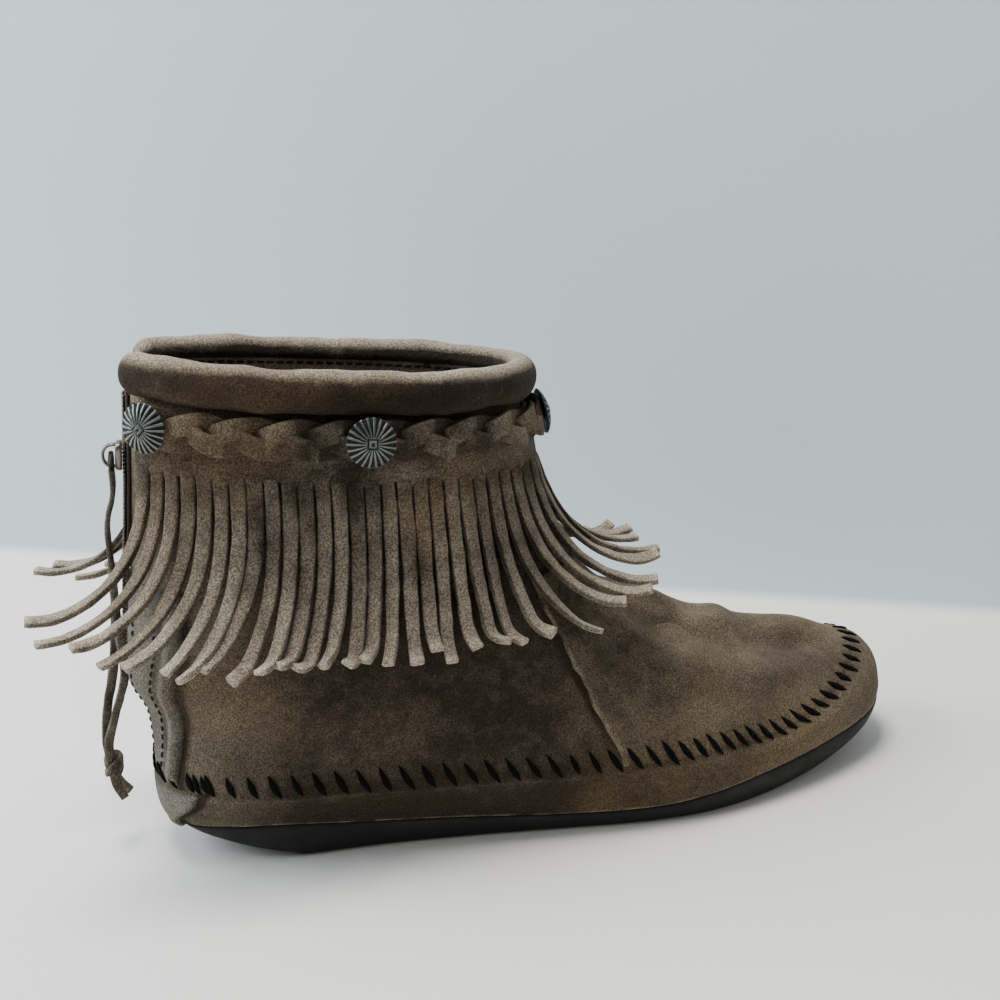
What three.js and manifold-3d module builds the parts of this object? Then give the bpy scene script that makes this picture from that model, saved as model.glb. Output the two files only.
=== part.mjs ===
// Suede ankle moccasin boot with fringe, right foot, standing empty and closed.
// Millimetres. +X toe, +Y inner side of the foot, +Z up, floor at Z 0.
import * as THREE from "three";
import { mergeVertices } from "three/addons/utils/BufferGeometryUtils.js";
import Module from "manifold-3d";

const wasm = await Module();
wasm.setup();

// Main sizes
const shoeLength = 262;
const ballWidth = 88;
const shaftHeight = 153;
const wall = 2.2;
const meeting = 0.3;
const bandMeeting = 0.6;

// Sole sizes
const heelThickness = 13.4;
const soleBackShare = 0.021;
const soleFrontShare = 1.004;
const toeSpring = 11;
const springStart = 0.767;
const soleSpringStart = 0.72;
const heelBevel = 10.6;
const bevelEnd = 0.174;
const toeSwing = 6;
const swingStart = 10;
const edgeRound = 0.9;
const soleDraws = [2.6, 1.4, 0.5];

// Raised leather: folded heel strips, heel tab, front panel over the quarter
const stripRise = 1.3;
const tabRise = 1;
const panelRise = 1.1;
const stripReach = 0.0477;
const grooveColumn = 0.036;
const tabColumn = 0.19;
const stepColumn = 0.006;
const panelSeamLow = 0.602;
const panelSeamLean = 0.4;
const heelColumn = 0.145;
const panelColumn = 0.52;

// Band, braid, conchos and fringe round the shaft
const braidDrop = 8.6;
const braidWidth = 12.5;
const braidDepth = 1.3;
const strandWidth = 6.4;
const strandThick = 2;
const braidPitch = 30;
const bandAbove = 4;
const bandBelow = 14;
const bandThick = 1.8;
const stripWidth = 4.2;
const stripThick = 1.4;
const stripPitch = 4.75;
const stripLength = 66;
const stripRoot = 3;
const backGap = 0.075;
const conchoSize = 15;
const conchoDome = 2.2;
const conchoRim = 0.6;
const conchoMid = 0.412;
const conchoBack = 0.118;
const flutes = 14;

// Collar roll, zip and its pull
const rollHeight = 12.4;
const rollDepth = 10;
const rollGapInner = 0.075;
const rollGapOuter = 0.045;
const rollShift = 0.8;
const collarSag = 1;
const zipWidth = 6;
const tapeThick = 0.8;
const chainWidth = 3.6;
const chainThick = 0.9;
const laceThick = 1.5;
const laceWidth = 3;
const insoleThick = 1.6;
const insoleGap = 2;

// How finely the forms are divided
const columnsBack = 3;
const columnsSide = 9;
const columnsFront = 9;
const stripParts = 4;

// Half widths of the sole from its long axis, as shares of the ball width, at shares of its length
const soleColumns = ["at", "outer", "inner"];
const soleTable = [
  [0.000, 0.000, 0.000],
  [0.004, 0.102, 0.100],
  [0.015, 0.176, 0.170],
  [0.040, 0.239, 0.233],
  [0.104, 0.307, 0.301],
  [0.254, 0.335, 0.314],
  [0.377, 0.376, 0.320],
  [0.476, 0.420, 0.360],
  [0.576, 0.471, 0.435],
  [0.643, 0.491, 0.486],
  [0.693, 0.488, 0.494],
  [0.778, 0.444, 0.436],
  [0.875, 0.360, 0.317],
  [0.936, 0.278, 0.228],
  [0.965, 0.220, 0.174],
  [0.990, 0.124, 0.100],
  [1.000, 0.000, 0.000],
];

// Height of the sole's top edge over the toe spring, as shares of the heel's, at shares of its length
const edgeTable = [
  [0.000, 0.865],
  [0.060, 0.985],
  [0.118, 1.000],
  [0.161, 0.930],
  [0.210, 0.825],
  [0.270, 0.730],
  [0.350, 0.640],
  [0.430, 0.540],
  [0.520, 0.470],
  [0.610, 0.480],
  [0.680, 0.600],
  [0.750, 0.735],
  [0.820, 0.765],
  [0.880, 0.725],
  [0.930, 0.615],
  [1.000, 0.450],
];

// Closed levels of the upper from the sole to the collar. back, front and widest are shares of the
// shoe length, zBack and zFront of the shaft height, outer, inner and swell of the ball width.
// spring is how much of the toe spring the level follows, nose and heel how full its ends are,
// foot how much of the sole's outline it has, lift how much of the sole's edge height.
const levelColumns = ["back", "front", "zBack", "zFront", "spring", "outer", "inner",
  "widest", "nose", "heel", "foot", "swell", "lift"];
const levelTable = [
  [0.0210, 1.0035, 0.0641, 0.0379, 1.00, 0.477, 0.489, 0.672, 2.00, 3.00, 1.00, 0.000, 1.00],
  [0.0105, 1.0040, 0.0889, 0.0667, 1.10, 0.477, 0.489, 0.672, 2.00, 3.00, 1.00, 0.010, 0.75],
  [0.0070, 0.9931, 0.1275, 0.1072, 1.50, 0.477, 0.489, 0.622, 2.00, 3.00, 0.90, 0.020, 0.40],
  [0.0080, 0.9580, 0.1699, 0.1458, 2.20, 0.466, 0.466, 0.595, 2.00, 2.90, 0.65, 0.023, 0.00],
  [0.0105, 0.9198, 0.2222, 0.2027, 2.00, 0.443, 0.438, 0.557, 2.00, 2.80, 0.35, 0.007, 0.00],
  [0.0113, 0.8740, 0.2712, 0.2589, 2.20, 0.420, 0.409, 0.511, 1.95, 2.80, 0.10, 0.000, 0.00],
  [0.0088, 0.8187, 0.3176, 0.3072, 2.40, 0.403, 0.392, 0.454, 1.90, 2.80, 0.00, 0.000, 0.00],
  [0.0010, 0.7710, 0.3516, 0.3373, 2.00, 0.392, 0.381, 0.416, 1.90, 2.75, 0.00, 0.000, 0.00],
  [-0.0069, 0.7309, 0.3824, 0.3628, 2.00, 0.383, 0.372, 0.385, 1.90, 2.70, 0.00, 0.000, 0.00],
  [-0.0084, 0.6832, 0.4183, 0.3981, 2.00, 0.375, 0.364, 0.355, 1.90, 2.65, 0.00, 0.000, 0.00],
  [-0.0076, 0.6374, 0.4575, 0.4294, 2.00, 0.367, 0.358, 0.328, 1.95, 2.60, 0.00, 0.000, 0.00],
  [-0.0053, 0.5916, 0.5033, 0.4641, 2.00, 0.358, 0.352, 0.302, 2.00, 2.50, 0.00, 0.000, 0.00],
  [-0.0015, 0.5534, 0.5686, 0.5294, 2.00, 0.347, 0.343, 0.282, 2.10, 2.40, 0.00, 0.000, 0.00],
  [0.0038, 0.5305, 0.6471, 0.6078, 2.00, 0.335, 0.335, 0.271, 2.20, 2.35, 0.00, 0.000, 0.00],
  [0.0099, 0.5115, 0.7320, 0.6863, 2.00, 0.325, 0.325, 0.267, 2.30, 2.30, 0.00, 0.000, 0.00],
  [0.0153, 0.4977, 0.8170, 0.7647, 2.00, 0.315, 0.315, 0.263, 2.30, 2.30, 0.00, 0.000, 0.00],
  [0.0202, 0.4885, 0.9085, 0.8431, 2.00, 0.307, 0.307, 0.260, 2.30, 2.30, 0.00, 0.000, 0.00],
  [0.0248, 0.4809, 1.0000, 0.9216, 2.00, 0.301, 0.301, 0.260, 2.30, 2.30, 0.00, 0.000, 0.00],
];
const topLevel = levelTable.length - 1;
const stitchLevel = 3;
const zipLowLevel = 8.6;
const bandLevel = 12.5;
const panelTopLevel = 10.5;

// How the fringe hangs, at shares of the way round from heel to toe. bend is the turn at the tip in
// degrees, heading its direction from the side of the foot towards the toe in degrees, reach its length
// as a share, ease how late it turns.
const fringeColumns = ["at", "bend", "heading", "reach", "ease"];
const fringeTable = [
  [0.00, 98, -90, 0.98, 1.0],
  [0.12, 95, -76, 1.01, 1.0],
  [0.20, 78, -58, 0.97, 1.1],
  [0.30, 62, -46, 0.93, 1.2],
  [0.40, 50, -30, 0.87, 1.4],
  [0.46, 48, 0, 0.85, 1.6],
  [0.52, 64, 40, 0.86, 1.4],
  [0.62, 84, 58, 0.93, 1.2],
  [0.74, 94, 70, 0.96, 1.1],
  [0.88, 97, 80, 0.93, 1.0],
  [1.00, 98, 90, 0.90, 1.0],
];

// Zip pull lace from the middle of its crossing under the slider's bridge: how far behind it, to the
// side of it and below it, in millimetres
const laceRoute = [
  [0.0, 0.0, 0.0], [0.0, 2.2, 0.3], [0.3, 3.2, 4.0], [0.8, 2.6, 12.0], [3.4, 2.0, 21.0],
  [3.6, 1.9, 35.0], [4.4, 1.9, 53.0], [5.4, 1.9, 70.0], [9.0, 1.9, 83.0], [11.4, 1.8, 93.0],
  [11.6, 1.7, 98.4],
];
const crossing = [2, 3];
const knotPlace = [10.8, 0, 102.5];
const knotSize = 7.5;
const endRoutes = [
  [[10.8, -1.2, 103.0], [10.4, -2.2, 108.4], [8.2, -3.4, 113.5]],
  [[10.8, 1.2, 103.0], [10.0, 2.4, 109.4], [6.8, 3.8, 114.8]],
];

const xBack = -shoeLength / 2;
const soleBack = xBack + soleBackShare * shoeLength;
const soleLength = (soleFrontShare - soleBackShare) * shoeLength;

const lerp = THREE.MathUtils.lerp;
const clamp = THREE.MathUtils.clamp;

// Smooth curve through pairs of place and value
function through(places, values, place) {
  const last = places.length - 1;
  let k = 0;
  while (k < last - 1 && place > places[k + 1]) k += 1;
  const slope = (i) => {
    const a = Math.max(i - 1, 0);
    const b = Math.min(i + 1, last);
    return (values[b] - values[a]) / (places[b] - places[a]);
  };
  const span = places[k + 1] - places[k];
  const s = clamp((place - places[k]) / span, 0, 1);
  const s2 = s * s;
  const s3 = s2 * s;
  return (2 * s3 - 3 * s2 + 1) * values[k] + (s3 - 2 * s2 + s) * span * slope(k)
    + (3 * s2 - 2 * s3) * values[k + 1] + (s3 - s2) * span * slope(k + 1);
}

// Value of a named column of a table at a place between its rows
function read(table, names, name, place) {
  const column = names.indexOf(name);
  const places = names[0] === "at" ? table.map((row) => row[0]) : table.map((row, i) => i);
  return through(places, table.map((row) => row[column]), place);
}

const angleOf = (share) => Math.acos(clamp(1 - 2 * share, -1, 1));
const shareOf = (column) => (1 - Math.cos(Math.PI * column)) / 2;
const soleAngles = soleTable.map((row) => angleOf(row[0]));

// Half width of the sole at a share of its length; side -1 is the outer side, +1 the inner side
function soleHalf(share, side) {
  const column = side < 0 ? 1 : 2;
  return ballWidth * Math.max(through(soleAngles, soleTable.map((row) => row[column]), angleOf(share)), 0);
}

// Long axis of the foot, which swings to the inner side towards the toe
const axisY = (x) => toeSwing * Math.pow(clamp((x + swingStart) / (shoeLength / 2 + swingStart), 0, 1), 1.3);

// Height gained by the toe spring, which starts further back in the sole than in the upper
function springZ(x, from = springStart) {
  const start = xBack + from * shoeLength;
  return x < start ? 0 : toeSpring * Math.pow((x - start) / (-xBack - start), 2);
}

// Top edge of the sole
function soleTop(x) {
  const share = clamp((x - soleBack) / soleLength, 0, 1);
  const edge = through(edgeTable.map((row) => row[0]), edgeTable.map((row) => row[1]), share);
  return heelThickness * edge + springZ(x, soleSpringStart);
}

// Underside of the sole, flat from the heel to the ball, bevelled at the back of the heel
function soleUnder(x) {
  const end = xBack + bevelEnd * shoeLength;
  const bevel = x > end ? 0 : heelBevel * Math.pow(Math.min((end - x) / (end - soleBack), 1), 0.95);
  return springZ(x, soleSpringStart) + bevel;
}

// Share of a level's length at a column, so that a column runs along each seam
function shareAt(column, back, front, height) {
  const length = front - back;
  const seamX = xBack + panelSeamLow * shoeLength - panelSeamLean * height;
  const heelSeam = (stripReach * shoeLength) / length;
  const panelSeam = (seamX - back) / length;
  const heelBase = shareOf(heelColumn);
  const panelBase = shareOf(panelColumn);
  const base = shareOf(column);
  if (column <= heelColumn) return (base * heelSeam) / heelBase;
  if (column >= panelColumn) return 1 - ((1 - base) * (1 - panelSeam)) / (1 - panelBase);
  return lerp(heelSeam, panelSeam, (base - heelBase) / (panelBase - heelBase));
}

// How far the sole's edge stands above the lowest level's own height
function edgeLift(x, share) {
  const [low] = levelTable;
  const plain = lerp(low[2], low[3], share) * shaftHeight + springZ(x);
  return soleTop(x) + meeting - plain;
}

// Point of the upper's outside; turn 0 is the heel, -1 to 0 the outer side, 0 to 1 the inner side
function skin(turn, level) {
  const side = turn < 0 ? -1 : 1;
  const row = {};
  for (const name of levelColumns) row[name] = read(levelTable, levelColumns, name, level);
  const back = xBack + row.back * shoeLength;
  const front = xBack + row.front * shoeLength;
  const height = lerp(row.zBack, row.zFront, 0.6) * shaftHeight;
  const share = clamp(shareAt(Math.abs(turn), back, front, height), 0, 1);
  const x = lerp(back, front, share);
  const widest = (row.widest - row.back) / (row.front - row.back);
  const away = share < widest ? 1 - share / widest : (share - widest) / (1 - widest);
  const full = share < widest ? row.heel : row.nose;
  const bullet = (side < 0 ? row.outer : row.inner) * ballWidth
    * Math.sqrt(Math.max(1 - Math.pow(away, full), 0));
  const round = Math.sqrt(Math.max(1 - Math.pow(2 * share - 1, 6), 0));
  const half = lerp(bullet, soleHalf(share, side), clamp(row.foot, 0, 1)) + row.swell * ballWidth * round;
  const sag = level > 12 ? Math.min((level - 12) / 4, 1) * collarSag * 4 * share * (1 - share) : 0;
  const z = lerp(row.zBack, row.zFront, share) * shaftHeight + row.spring * springZ(x) - sag;
  return new THREE.Vector3(x, axisY(x) + side * half, z + row.lift * edgeLift(x, share));
}

const wrapTurn = (turn) => (turn > 1 ? turn - 2 : turn < -1 ? turn + 2 : turn);

// Outward direction of the upper's outside
function outward(turn, level) {
  const reach = 0.004;
  const low = Math.max(level - 0.1, 0);
  const high = Math.min(level + 0.1, topLevel);
  const round = skin(wrapTurn(turn + reach), level).sub(skin(wrapTurn(turn - reach), level));
  const rise = skin(turn, high).sub(skin(turn, low));
  return round.cross(rise).negate().normalize();
}

const shifted = (turn, level, out) => skin(turn, level).addScaledVector(outward(turn, level), out);

// Level at which the upper's outside reaches a height at a turn
function levelAt(turn, z) {
  let low = stitchLevel;
  let high = topLevel;
  for (let i = 0; i < 24; i += 1) {
    const middle = (low + high) / 2;
    if (skin(turn, middle).z < z) low = middle;
    else high = middle;
  }
  return (low + high) / 2;
}

// Closed solid through rings of points; a loop joins its last ring to its first
function solidOf(rings, loop = false) {
  const count = rings[0].length;
  const places = [];
  for (const ring of rings) for (const p of ring) places.push(p.x, p.y, p.z);
  const faces = [];
  const quad = (a, b, c, d) => {
    if (a !== b && b !== c && a !== c) faces.push(a, b, c);
    if (a !== d && d !== c && a !== c) faces.push(a, c, d);
  };
  const turns = loop ? rings.length : rings.length - 1;
  for (let i = 0; i < turns; i += 1) {
    const next = (i + 1) % rings.length;
    for (let j = 0; j < count; j += 1) {
      const k = (j + 1) % count;
      quad(i * count + j, i * count + k, next * count + k, next * count + j);
    }
  }
  if (!loop) {
    const end = (rings.length - 1) * count;
    for (let j = 0; j < count / 2; j += 1) {
      const other = (count - j) % count;
      const far = count - j - 1;
      quad(other, far, j + 1, j);
      quad(end + j, end + j + 1, end + far, end + other);
    }
  }
  const geometry = new THREE.BufferGeometry();
  geometry.setAttribute("position", new THREE.Float32BufferAttribute(places, 3));
  geometry.setIndex(faces);
  return facingOut(mergeVertices(geometry, 1e-4));
}

// The same solid with its faces turned outwards
function facingOut(geometry) {
  const p = geometry.attributes.position;
  const index = geometry.index.array;
  const v = [new THREE.Vector3(), new THREE.Vector3(), new THREE.Vector3()];
  let volume = 0;
  for (let i = 0; i < index.length; i += 3) {
    v.forEach((corner, k) => corner.fromBufferAttribute(p, index[i + k]));
    volume += v[0].dot(v[1].clone().cross(v[2]));
  }
  if (volume < 0) {
    for (let i = 0; i < index.length; i += 3) [index[i + 1], index[i + 2]] = [index[i + 2], index[i + 1]];
  }
  return geometry;
}

// One solid made of several that overlap
function fused(pieces) {
  let whole = null;
  for (const piece of pieces) {
    const solid = new wasm.Manifold(new wasm.Mesh({
      numProp: 3,
      vertProperties: Float32Array.from(piece.attributes.position.array),
      triVerts: Uint32Array.from(piece.index.array),
    }));
    whole = whole ? whole.add(solid) : solid;
  }
  const mesh = whole.getMesh();
  const geometry = new THREE.BufferGeometry();
  geometry.setAttribute("position", new THREE.Float32BufferAttribute(mesh.vertProperties, 3));
  geometry.setIndex(Array.from(mesh.triVerts));
  return geometry;
}

// Flat strap of a width and thickness along a path, with its width direction given at the start
function strap(path, across, width, thick, corners = 4) {
  const rings = path.map((point, i) => {
    const before = path[Math.max(i - 1, 0)];
    const after = path[Math.min(i + 1, path.length - 1)];
    const along = after.clone().sub(before).normalize();
    const given = across[Math.min(i, across.length - 1)];
    const wide = given.clone().addScaledVector(along, -given.dot(along)).normalize();
    const deep = along.clone().cross(wide);
    return Array.from({ length: corners }, (unused, j) => {
      const angle = (2 * Math.PI * (j + 0.5)) / corners;
      const grow = corners === 4 ? Math.SQRT1_2 : 0.5;
      return point.clone().addScaledVector(wide, width * grow * Math.cos(angle))
        .addScaledVector(deep, thick * grow * Math.sin(angle));
    });
  });
  return solidOf(rings);
}

// Columns round the upper, with a pair at each step in the wall
function upperTurns() {
  const half = [0, grooveColumn - stepColumn, grooveColumn];
  for (let i = 1; i < columnsBack; i += 1) half.push(lerp(grooveColumn, heelColumn, i / columnsBack));
  half.push(heelColumn, heelColumn + stepColumn, tabColumn, tabColumn + stepColumn);
  for (let i = 1; i < columnsSide; i += 1) half.push(lerp(tabColumn + stepColumn, panelColumn, i / columnsSide));
  half.push(panelColumn, panelColumn + stepColumn);
  for (let i = 1; i < columnsFront; i += 1) {
    half.push(lerp(panelColumn + stepColumn, 1, i / columnsFront));
  }
  return [...half, 1, ...half.slice(1).reverse().map((turn) => -turn)];
}

// Rise of the leather over the base wall at a place on the upper
function riseAt(turn, level) {
  const column = Math.abs(turn);
  const inBand = level > bandLevel;
  let rise = 0;
  if (level > stitchLevel + 0.1) {
    const groove = level > zipLowLevel && column < grooveColumn - stepColumn / 2;
    if (column <= (inBand ? backGap * 0.6 : heelColumn) && !groove) rise = stripRise;
    if (column >= panelColumn + stepColumn && level < panelTopLevel) rise = panelRise;
  } else if (column <= tabColumn) rise = tabRise;
  return rise;
}

function upperSolid() {
  const turns = upperTurns();
  const rings = [];
  const outerLevels = [0, 1, 1.7, 2.4, stitchLevel, stitchLevel + 0.15, 4, 5, 6, 7, 8, zipLowLevel - 0.1,
    zipLowLevel + 0.1, 9.5, panelTopLevel - 0.1, panelTopLevel + 0.1, bandLevel - 0.1, bandLevel + 0.1,
    14, 15.5, topLevel];
  const innerLevels = [topLevel, 14, 11.5, 9.5, 7.5, 5.4, 3.6, 1.6, 0];
  for (const level of outerLevels) rings.push(turns.map((turn) => shifted(turn, level, riseAt(turn, level))));
  for (const level of innerLevels) {
    rings.push(turns.map((turn) => {
      const point = shifted(turn, level, -wall);
      if (level === 0) point.z = soleTop(point.x) + meeting;
      return point;
    }));
  }
  for (const point of rings[0]) point.z = soleTop(point.x) + meeting;
  return solidOf(rings, true);
}

// Outline of the sole drawn in by an amount, at the heights of a function
function soleRing(inset, height) {
  const count = 54;
  return Array.from({ length: count }, (unused, i) => {
    const column = (2 * i) / count;
    const side = column > 1 ? 1 : -1;
    const share = shareOf(column > 1 ? 2 - column : column);
    const x = lerp(soleBack + inset, soleBack + soleLength - inset, share);
    const half = soleHalf(share, side);
    return new THREE.Vector3(x, axisY(x) + side * Math.max(half - inset, half * 0.2), height(x));
  });
}

function outsoleSolid() {
  const under = (x) => soleUnder(x);
  const thick = (x) => soleTop(x) - soleUnder(x);
  return solidOf([
    soleRing(soleDraws[0], under),
    soleRing(soleDraws[1], (x) => under(x) + 0.12 * thick(x)),
    soleRing(soleDraws[2], (x) => under(x) + 0.5 * thick(x)),
    soleRing(0, (x) => under(x) + 0.82 * thick(x)),
    soleRing(edgeRound, soleTop),
  ]);
}

function insoleSolid() {
  const margin = wall + insoleGap;
  return solidOf([
    soleRing(margin, (x) => soleTop(x) + meeting),
    soleRing(margin, (x) => soleTop(x) + meeting + insoleThick),
  ]);
}

// Places along the shaft at a drop below its top edge, evenly spaced from one end of the zip gap round
// the toe side to the other
function shaftRun(drop, out, from, to, count) {
  const fine = 240;
  const points = [];
  for (let i = 0; i <= fine; i += 1) {
    const turn = lerp(from, to, i / fine);
    const place = turn > 1 ? turn - 2 : turn;
    const level = levelAt(place, skin(place, topLevel).z - drop);
    points.push({ turn: place, level, point: shifted(place, level, out) });
  }
  const lengths = [0];
  for (let i = 1; i <= fine; i += 1) lengths.push(lengths[i - 1] + points[i].point.distanceTo(points[i - 1].point));
  const total = lengths[fine];
  return Array.from({ length: count }, (unused, k) => {
    const want = (total * k) / (count - 1);
    let i = 1;
    while (i < fine && lengths[i] < want) i += 1;
    const share = (want - lengths[i - 1]) / (lengths[i] - lengths[i - 1]);
    const turn = lerp(points[i - 1].turn, points[i].turn - (points[i].turn < points[i - 1].turn - 1 ? -2 : 0), share);
    const place = wrapTurn(turn);
    const level = levelAt(place, skin(place, topLevel).z - drop);
    return { turn: place, level, point: shifted(place, level, out), out: outward(place, level), total };
  });
}

const along = (run, k) => run[Math.min(k + 1, run.length - 1)].point.clone()
  .sub(run[Math.max(k - 1, 0)].point).normalize();

function bandSolid() {
  const spots = 50;
  const drops = [braidDrop - bandAbove, braidDrop + bandBelow * 0.4, braidDrop + bandBelow];
  const runs = drops.map((drop) => shaftRun(drop, bandMeeting, backGap, 2 - backGap, spots));
  const rings = runs[0].map((unused, k) => {
    const inner = runs.map((run) => run[k].point);
    const outer = runs.map((run) => run[k].point.clone().addScaledVector(run[k].out, bandThick));
    return [...inner, ...outer.reverse()];
  });
  return solidOf(rings);
}

function fringeStrip(place, direction, index) {
  const value = (name) => read(fringeTable, fringeColumns, name, Math.abs(place.turn));
  const jitter = Math.sin(index * 2.4) * 0.6 + Math.sin(index * 5.3 + 1) * 0.4;
  const lean = Math.asin(clamp(place.out.z, 0, 0.5)) + 0.06;
  const bend = THREE.MathUtils.degToRad(value("bend") + 5 * jitter);
  const heading = THREE.MathUtils.degToRad(value("heading") + 5 * Math.cos(index * 1.7));
  const length = stripLength * (value("reach") + 0.03 * Math.cos(index * 3.7));
  const side = place.turn < 0 ? -1 : 1;
  const way = new THREE.Vector3(Math.sin(heading), side * Math.cos(heading), 0);
  const flat = place.out.clone().setZ(0).normalize();
  const square = new THREE.Vector3(-way.y, way.x, 0);
  if (square.dot(direction) < 0) square.negate();
  const path = [place.point.clone().setZ(place.point.z + stripRoot), place.point.clone()];
  const across = [direction, direction];
  let point = place.point.clone();
  for (let i = 0; i < stripParts; i += 1) {
    const share = (i + 0.5) / stripParts;
    const angle = lerp(lean, bend, Math.pow(share, value("ease")));
    const going = flat.clone().lerp(way, Math.min(1.6 * share, 1)).normalize();
    point = point.clone().addScaledVector(going, (length / stripParts) * Math.sin(angle));
    point.z -= (length / stripParts) * Math.cos(angle);
    path.push(point.clone());
    across.push(direction.clone().lerp(square, Math.min(1.4 * share, 1)).normalize());
  }
  return strap(path, across, stripWidth, stripThick);
}

function fringeSolid() {
  const drop = braidDrop + bandBelow - 1;
  const total = shaftRun(drop, 0, backGap, 2 - backGap, 2)[0].total;
  const count = Math.round(total / stripPitch);
  const run = shaftRun(drop, bandMeeting + bandThick / 2, backGap + 0.02, 2 - backGap - 0.02, count);
  return fused([bandSolid(), ...run.map((place, k) => fringeStrip(place, along(run, k), k))]);
}

// Plait of three flat thongs over the band: one strap whose edges and face rise at each crossing
function braidSolid() {
  const inner = bandMeeting + meeting + bandThick;
  const total = shaftRun(braidDrop, inner, backGap, 2 - backGap, 2)[0].total;
  const lobes = Math.round((2 * total) / braidPitch);
  const count = lobes * 4 + 1;
  const run = shaftRun(braidDrop, inner, backGap, 2 - backGap, count);
  const rings = run.map((place, k) => {
    const up = place.out.clone().cross(along(run, k)).normalize();
    if (up.z < 0) up.negate();
    const phase = (2 * Math.PI * k) / 4;
    const upper = Math.pow(Math.abs(Math.sin(phase / 2)), 0.6);
    const lower = Math.pow(Math.abs(Math.cos(phase / 2)), 0.6);
    const edge = (lobe) => (braidWidth / 2) * (0.8 + 0.2 * lobe);
    const spot = (height, depth) => place.point.clone().addScaledVector(up, height)
      .addScaledVector(place.out, depth);
    const face = strandThick * 1.1;
    return [
      spot(edge(upper) * 0.9, 0), spot(edge(upper), face * 0.6),
      spot(edge(upper) * 0.5, face + braidDepth * upper), spot(-edge(lower) * 0.5, face + braidDepth * lower),
      spot(-edge(lower), face * 0.6), spot(-edge(lower) * 0.9, 0),
    ];
  });
  return solidOf(rings);
}

// Domed disc with a fluted edge, standing on the braid at a place round the shaft
function conchoSolid(turn) {
  const out = bandMeeting + meeting * 2 + bandThick + strandThick * 1.1 + braidDepth;
  const level = levelAt(turn, skin(turn, topLevel).z - braidDrop);
  const centre = shifted(turn, level, out);
  const face = outward(turn, level);
  const rings = [[0.96, 0], [1, conchoRim], [0.3, conchoDome]].map(([size, height]) =>
    Array.from({ length: flutes * 2 }, (unused, i) => {
      const angle = (Math.PI * i) / flutes;
      const radius = (conchoSize / 2) * size * (i % 2 && size > 0.9 ? 0.94 : 1);
      return new THREE.Vector3(radius * Math.cos(angle), radius * Math.sin(angle), height);
    }));
  const geometry = solidOf(rings);
  const facing = new THREE.Quaternion().setFromUnitVectors(new THREE.Vector3(0, 0, 1), face);
  return geometry.applyMatrix4(new THREE.Matrix4().compose(centre, facing, new THREE.Vector3(1, 1, 1)));
}

// Padded roll on the top edge, open at the back for the zip
function rollSolid() {
  const spots = 36;
  const run = shaftRun(0, 0, rollGapInner, 2 - rollGapOuter, spots);
  const rings = run.map((place, k) => {
    const ahead = along(run, k);
    const flat = new THREE.Vector3(ahead.y, -ahead.x, 0).normalize();
    if (flat.dot(place.out) < 0) flat.negate();
    const up = ahead.clone().cross(flat).normalize();
    if (up.z < 0) up.negate();
    const centre = place.point.clone().addScaledVector(flat, rollShift)
      .addScaledVector(up, (rollHeight / 2) * Math.cos(Math.PI / 8) + meeting);
    return Array.from({ length: 8 }, (unused, i) => {
      const angle = (2 * Math.PI * (i + 0.5)) / 8;
      return centre.clone().addScaledVector(flat, (rollDepth / 2) * Math.cos(angle))
        .addScaledVector(up, (rollHeight / 2) * Math.sin(angle));
    });
  });
  return solidOf(rings);
}

// Zip tape with its closed chain, in the groove between the heel strips
function zipSolid() {
  const column = (half) => (grooveColumn - stepColumn) * 0.9 * (half / (zipWidth / 2));
  const spots = 12;
  const rings = Array.from({ length: spots }, (unused, i) => {
    const level = lerp(zipLowLevel + 0.25, topLevel - 0.1, i / (spots - 1));
    const tape = column(zipWidth / 2);
    const chain = column(chainWidth / 2);
    const inner = meeting;
    const face = meeting + tapeThick;
    const crown = face + chainThick;
    return [[0, inner], [tape, inner], [tape, face], [chain, face], [chain, crown],
      [-chain, crown], [-chain, face], [-tape, face], [-tape, inner]].map(([turn, out]) => shifted(turn, level, out));
  });
  return solidOf(rings);
}

const sliderZ = 0.856 * shaftHeight;
const sliderSize = [7, 9, 2];
const bridgeSize = [2.4, 8.2, 5.2];

function sliderSolid() {
  const level = levelAt(0, sliderZ);
  const out = meeting * 2 + tapeThick + chainThick;
  const place = shifted(0, level, out);
  const face = outward(0, level);
  const up = skin(0, level + 0.2).sub(skin(0, level - 0.2)).normalize();
  const side = new THREE.Vector3(0, 1, 0);
  const block = (width, tall, from, to, drop) => {
    const ring = (depth, draw) => [[-1, -1], [1, -1], [1, 1], [-1, 1]].map(([a, b]) =>
      place.clone().addScaledVector(side, (a * width * draw) / 2)
        .addScaledVector(up, (b * tall * draw) / 2 + drop).addScaledVector(face, depth));
    return solidOf([ring(from, 1), ring(to, 0.85)]);
  };
  const [width, tall, thick] = sliderSize;
  const [barWide, barTall, barHigh] = bridgeSize;
  return fused([
    block(width, tall, 0, thick, 0),
    block(barWide, 1.6, thick - 0.5, barHigh, barTall / 2 - 0.8),
    block(barWide, 1.6, thick - 0.5, barHigh, -barTall / 2 + 0.8),
    block(barWide, barTall, barHigh - 0.6, barHigh + 0.9, 0),
  ]);
}

// Point of the lace from its row in the route
function routePoint([behind, y, drop]) {
  const out = meeting * 2 + tapeThick + chainThick + sliderSize[2];
  const opening = bridgeSize[2] - 0.6 - sliderSize[2];
  const seat = shifted(0, levelAt(0, sliderZ), out + opening / 2);
  return new THREE.Vector3(seat.x - behind, y, sliderZ - drop);
}

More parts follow.
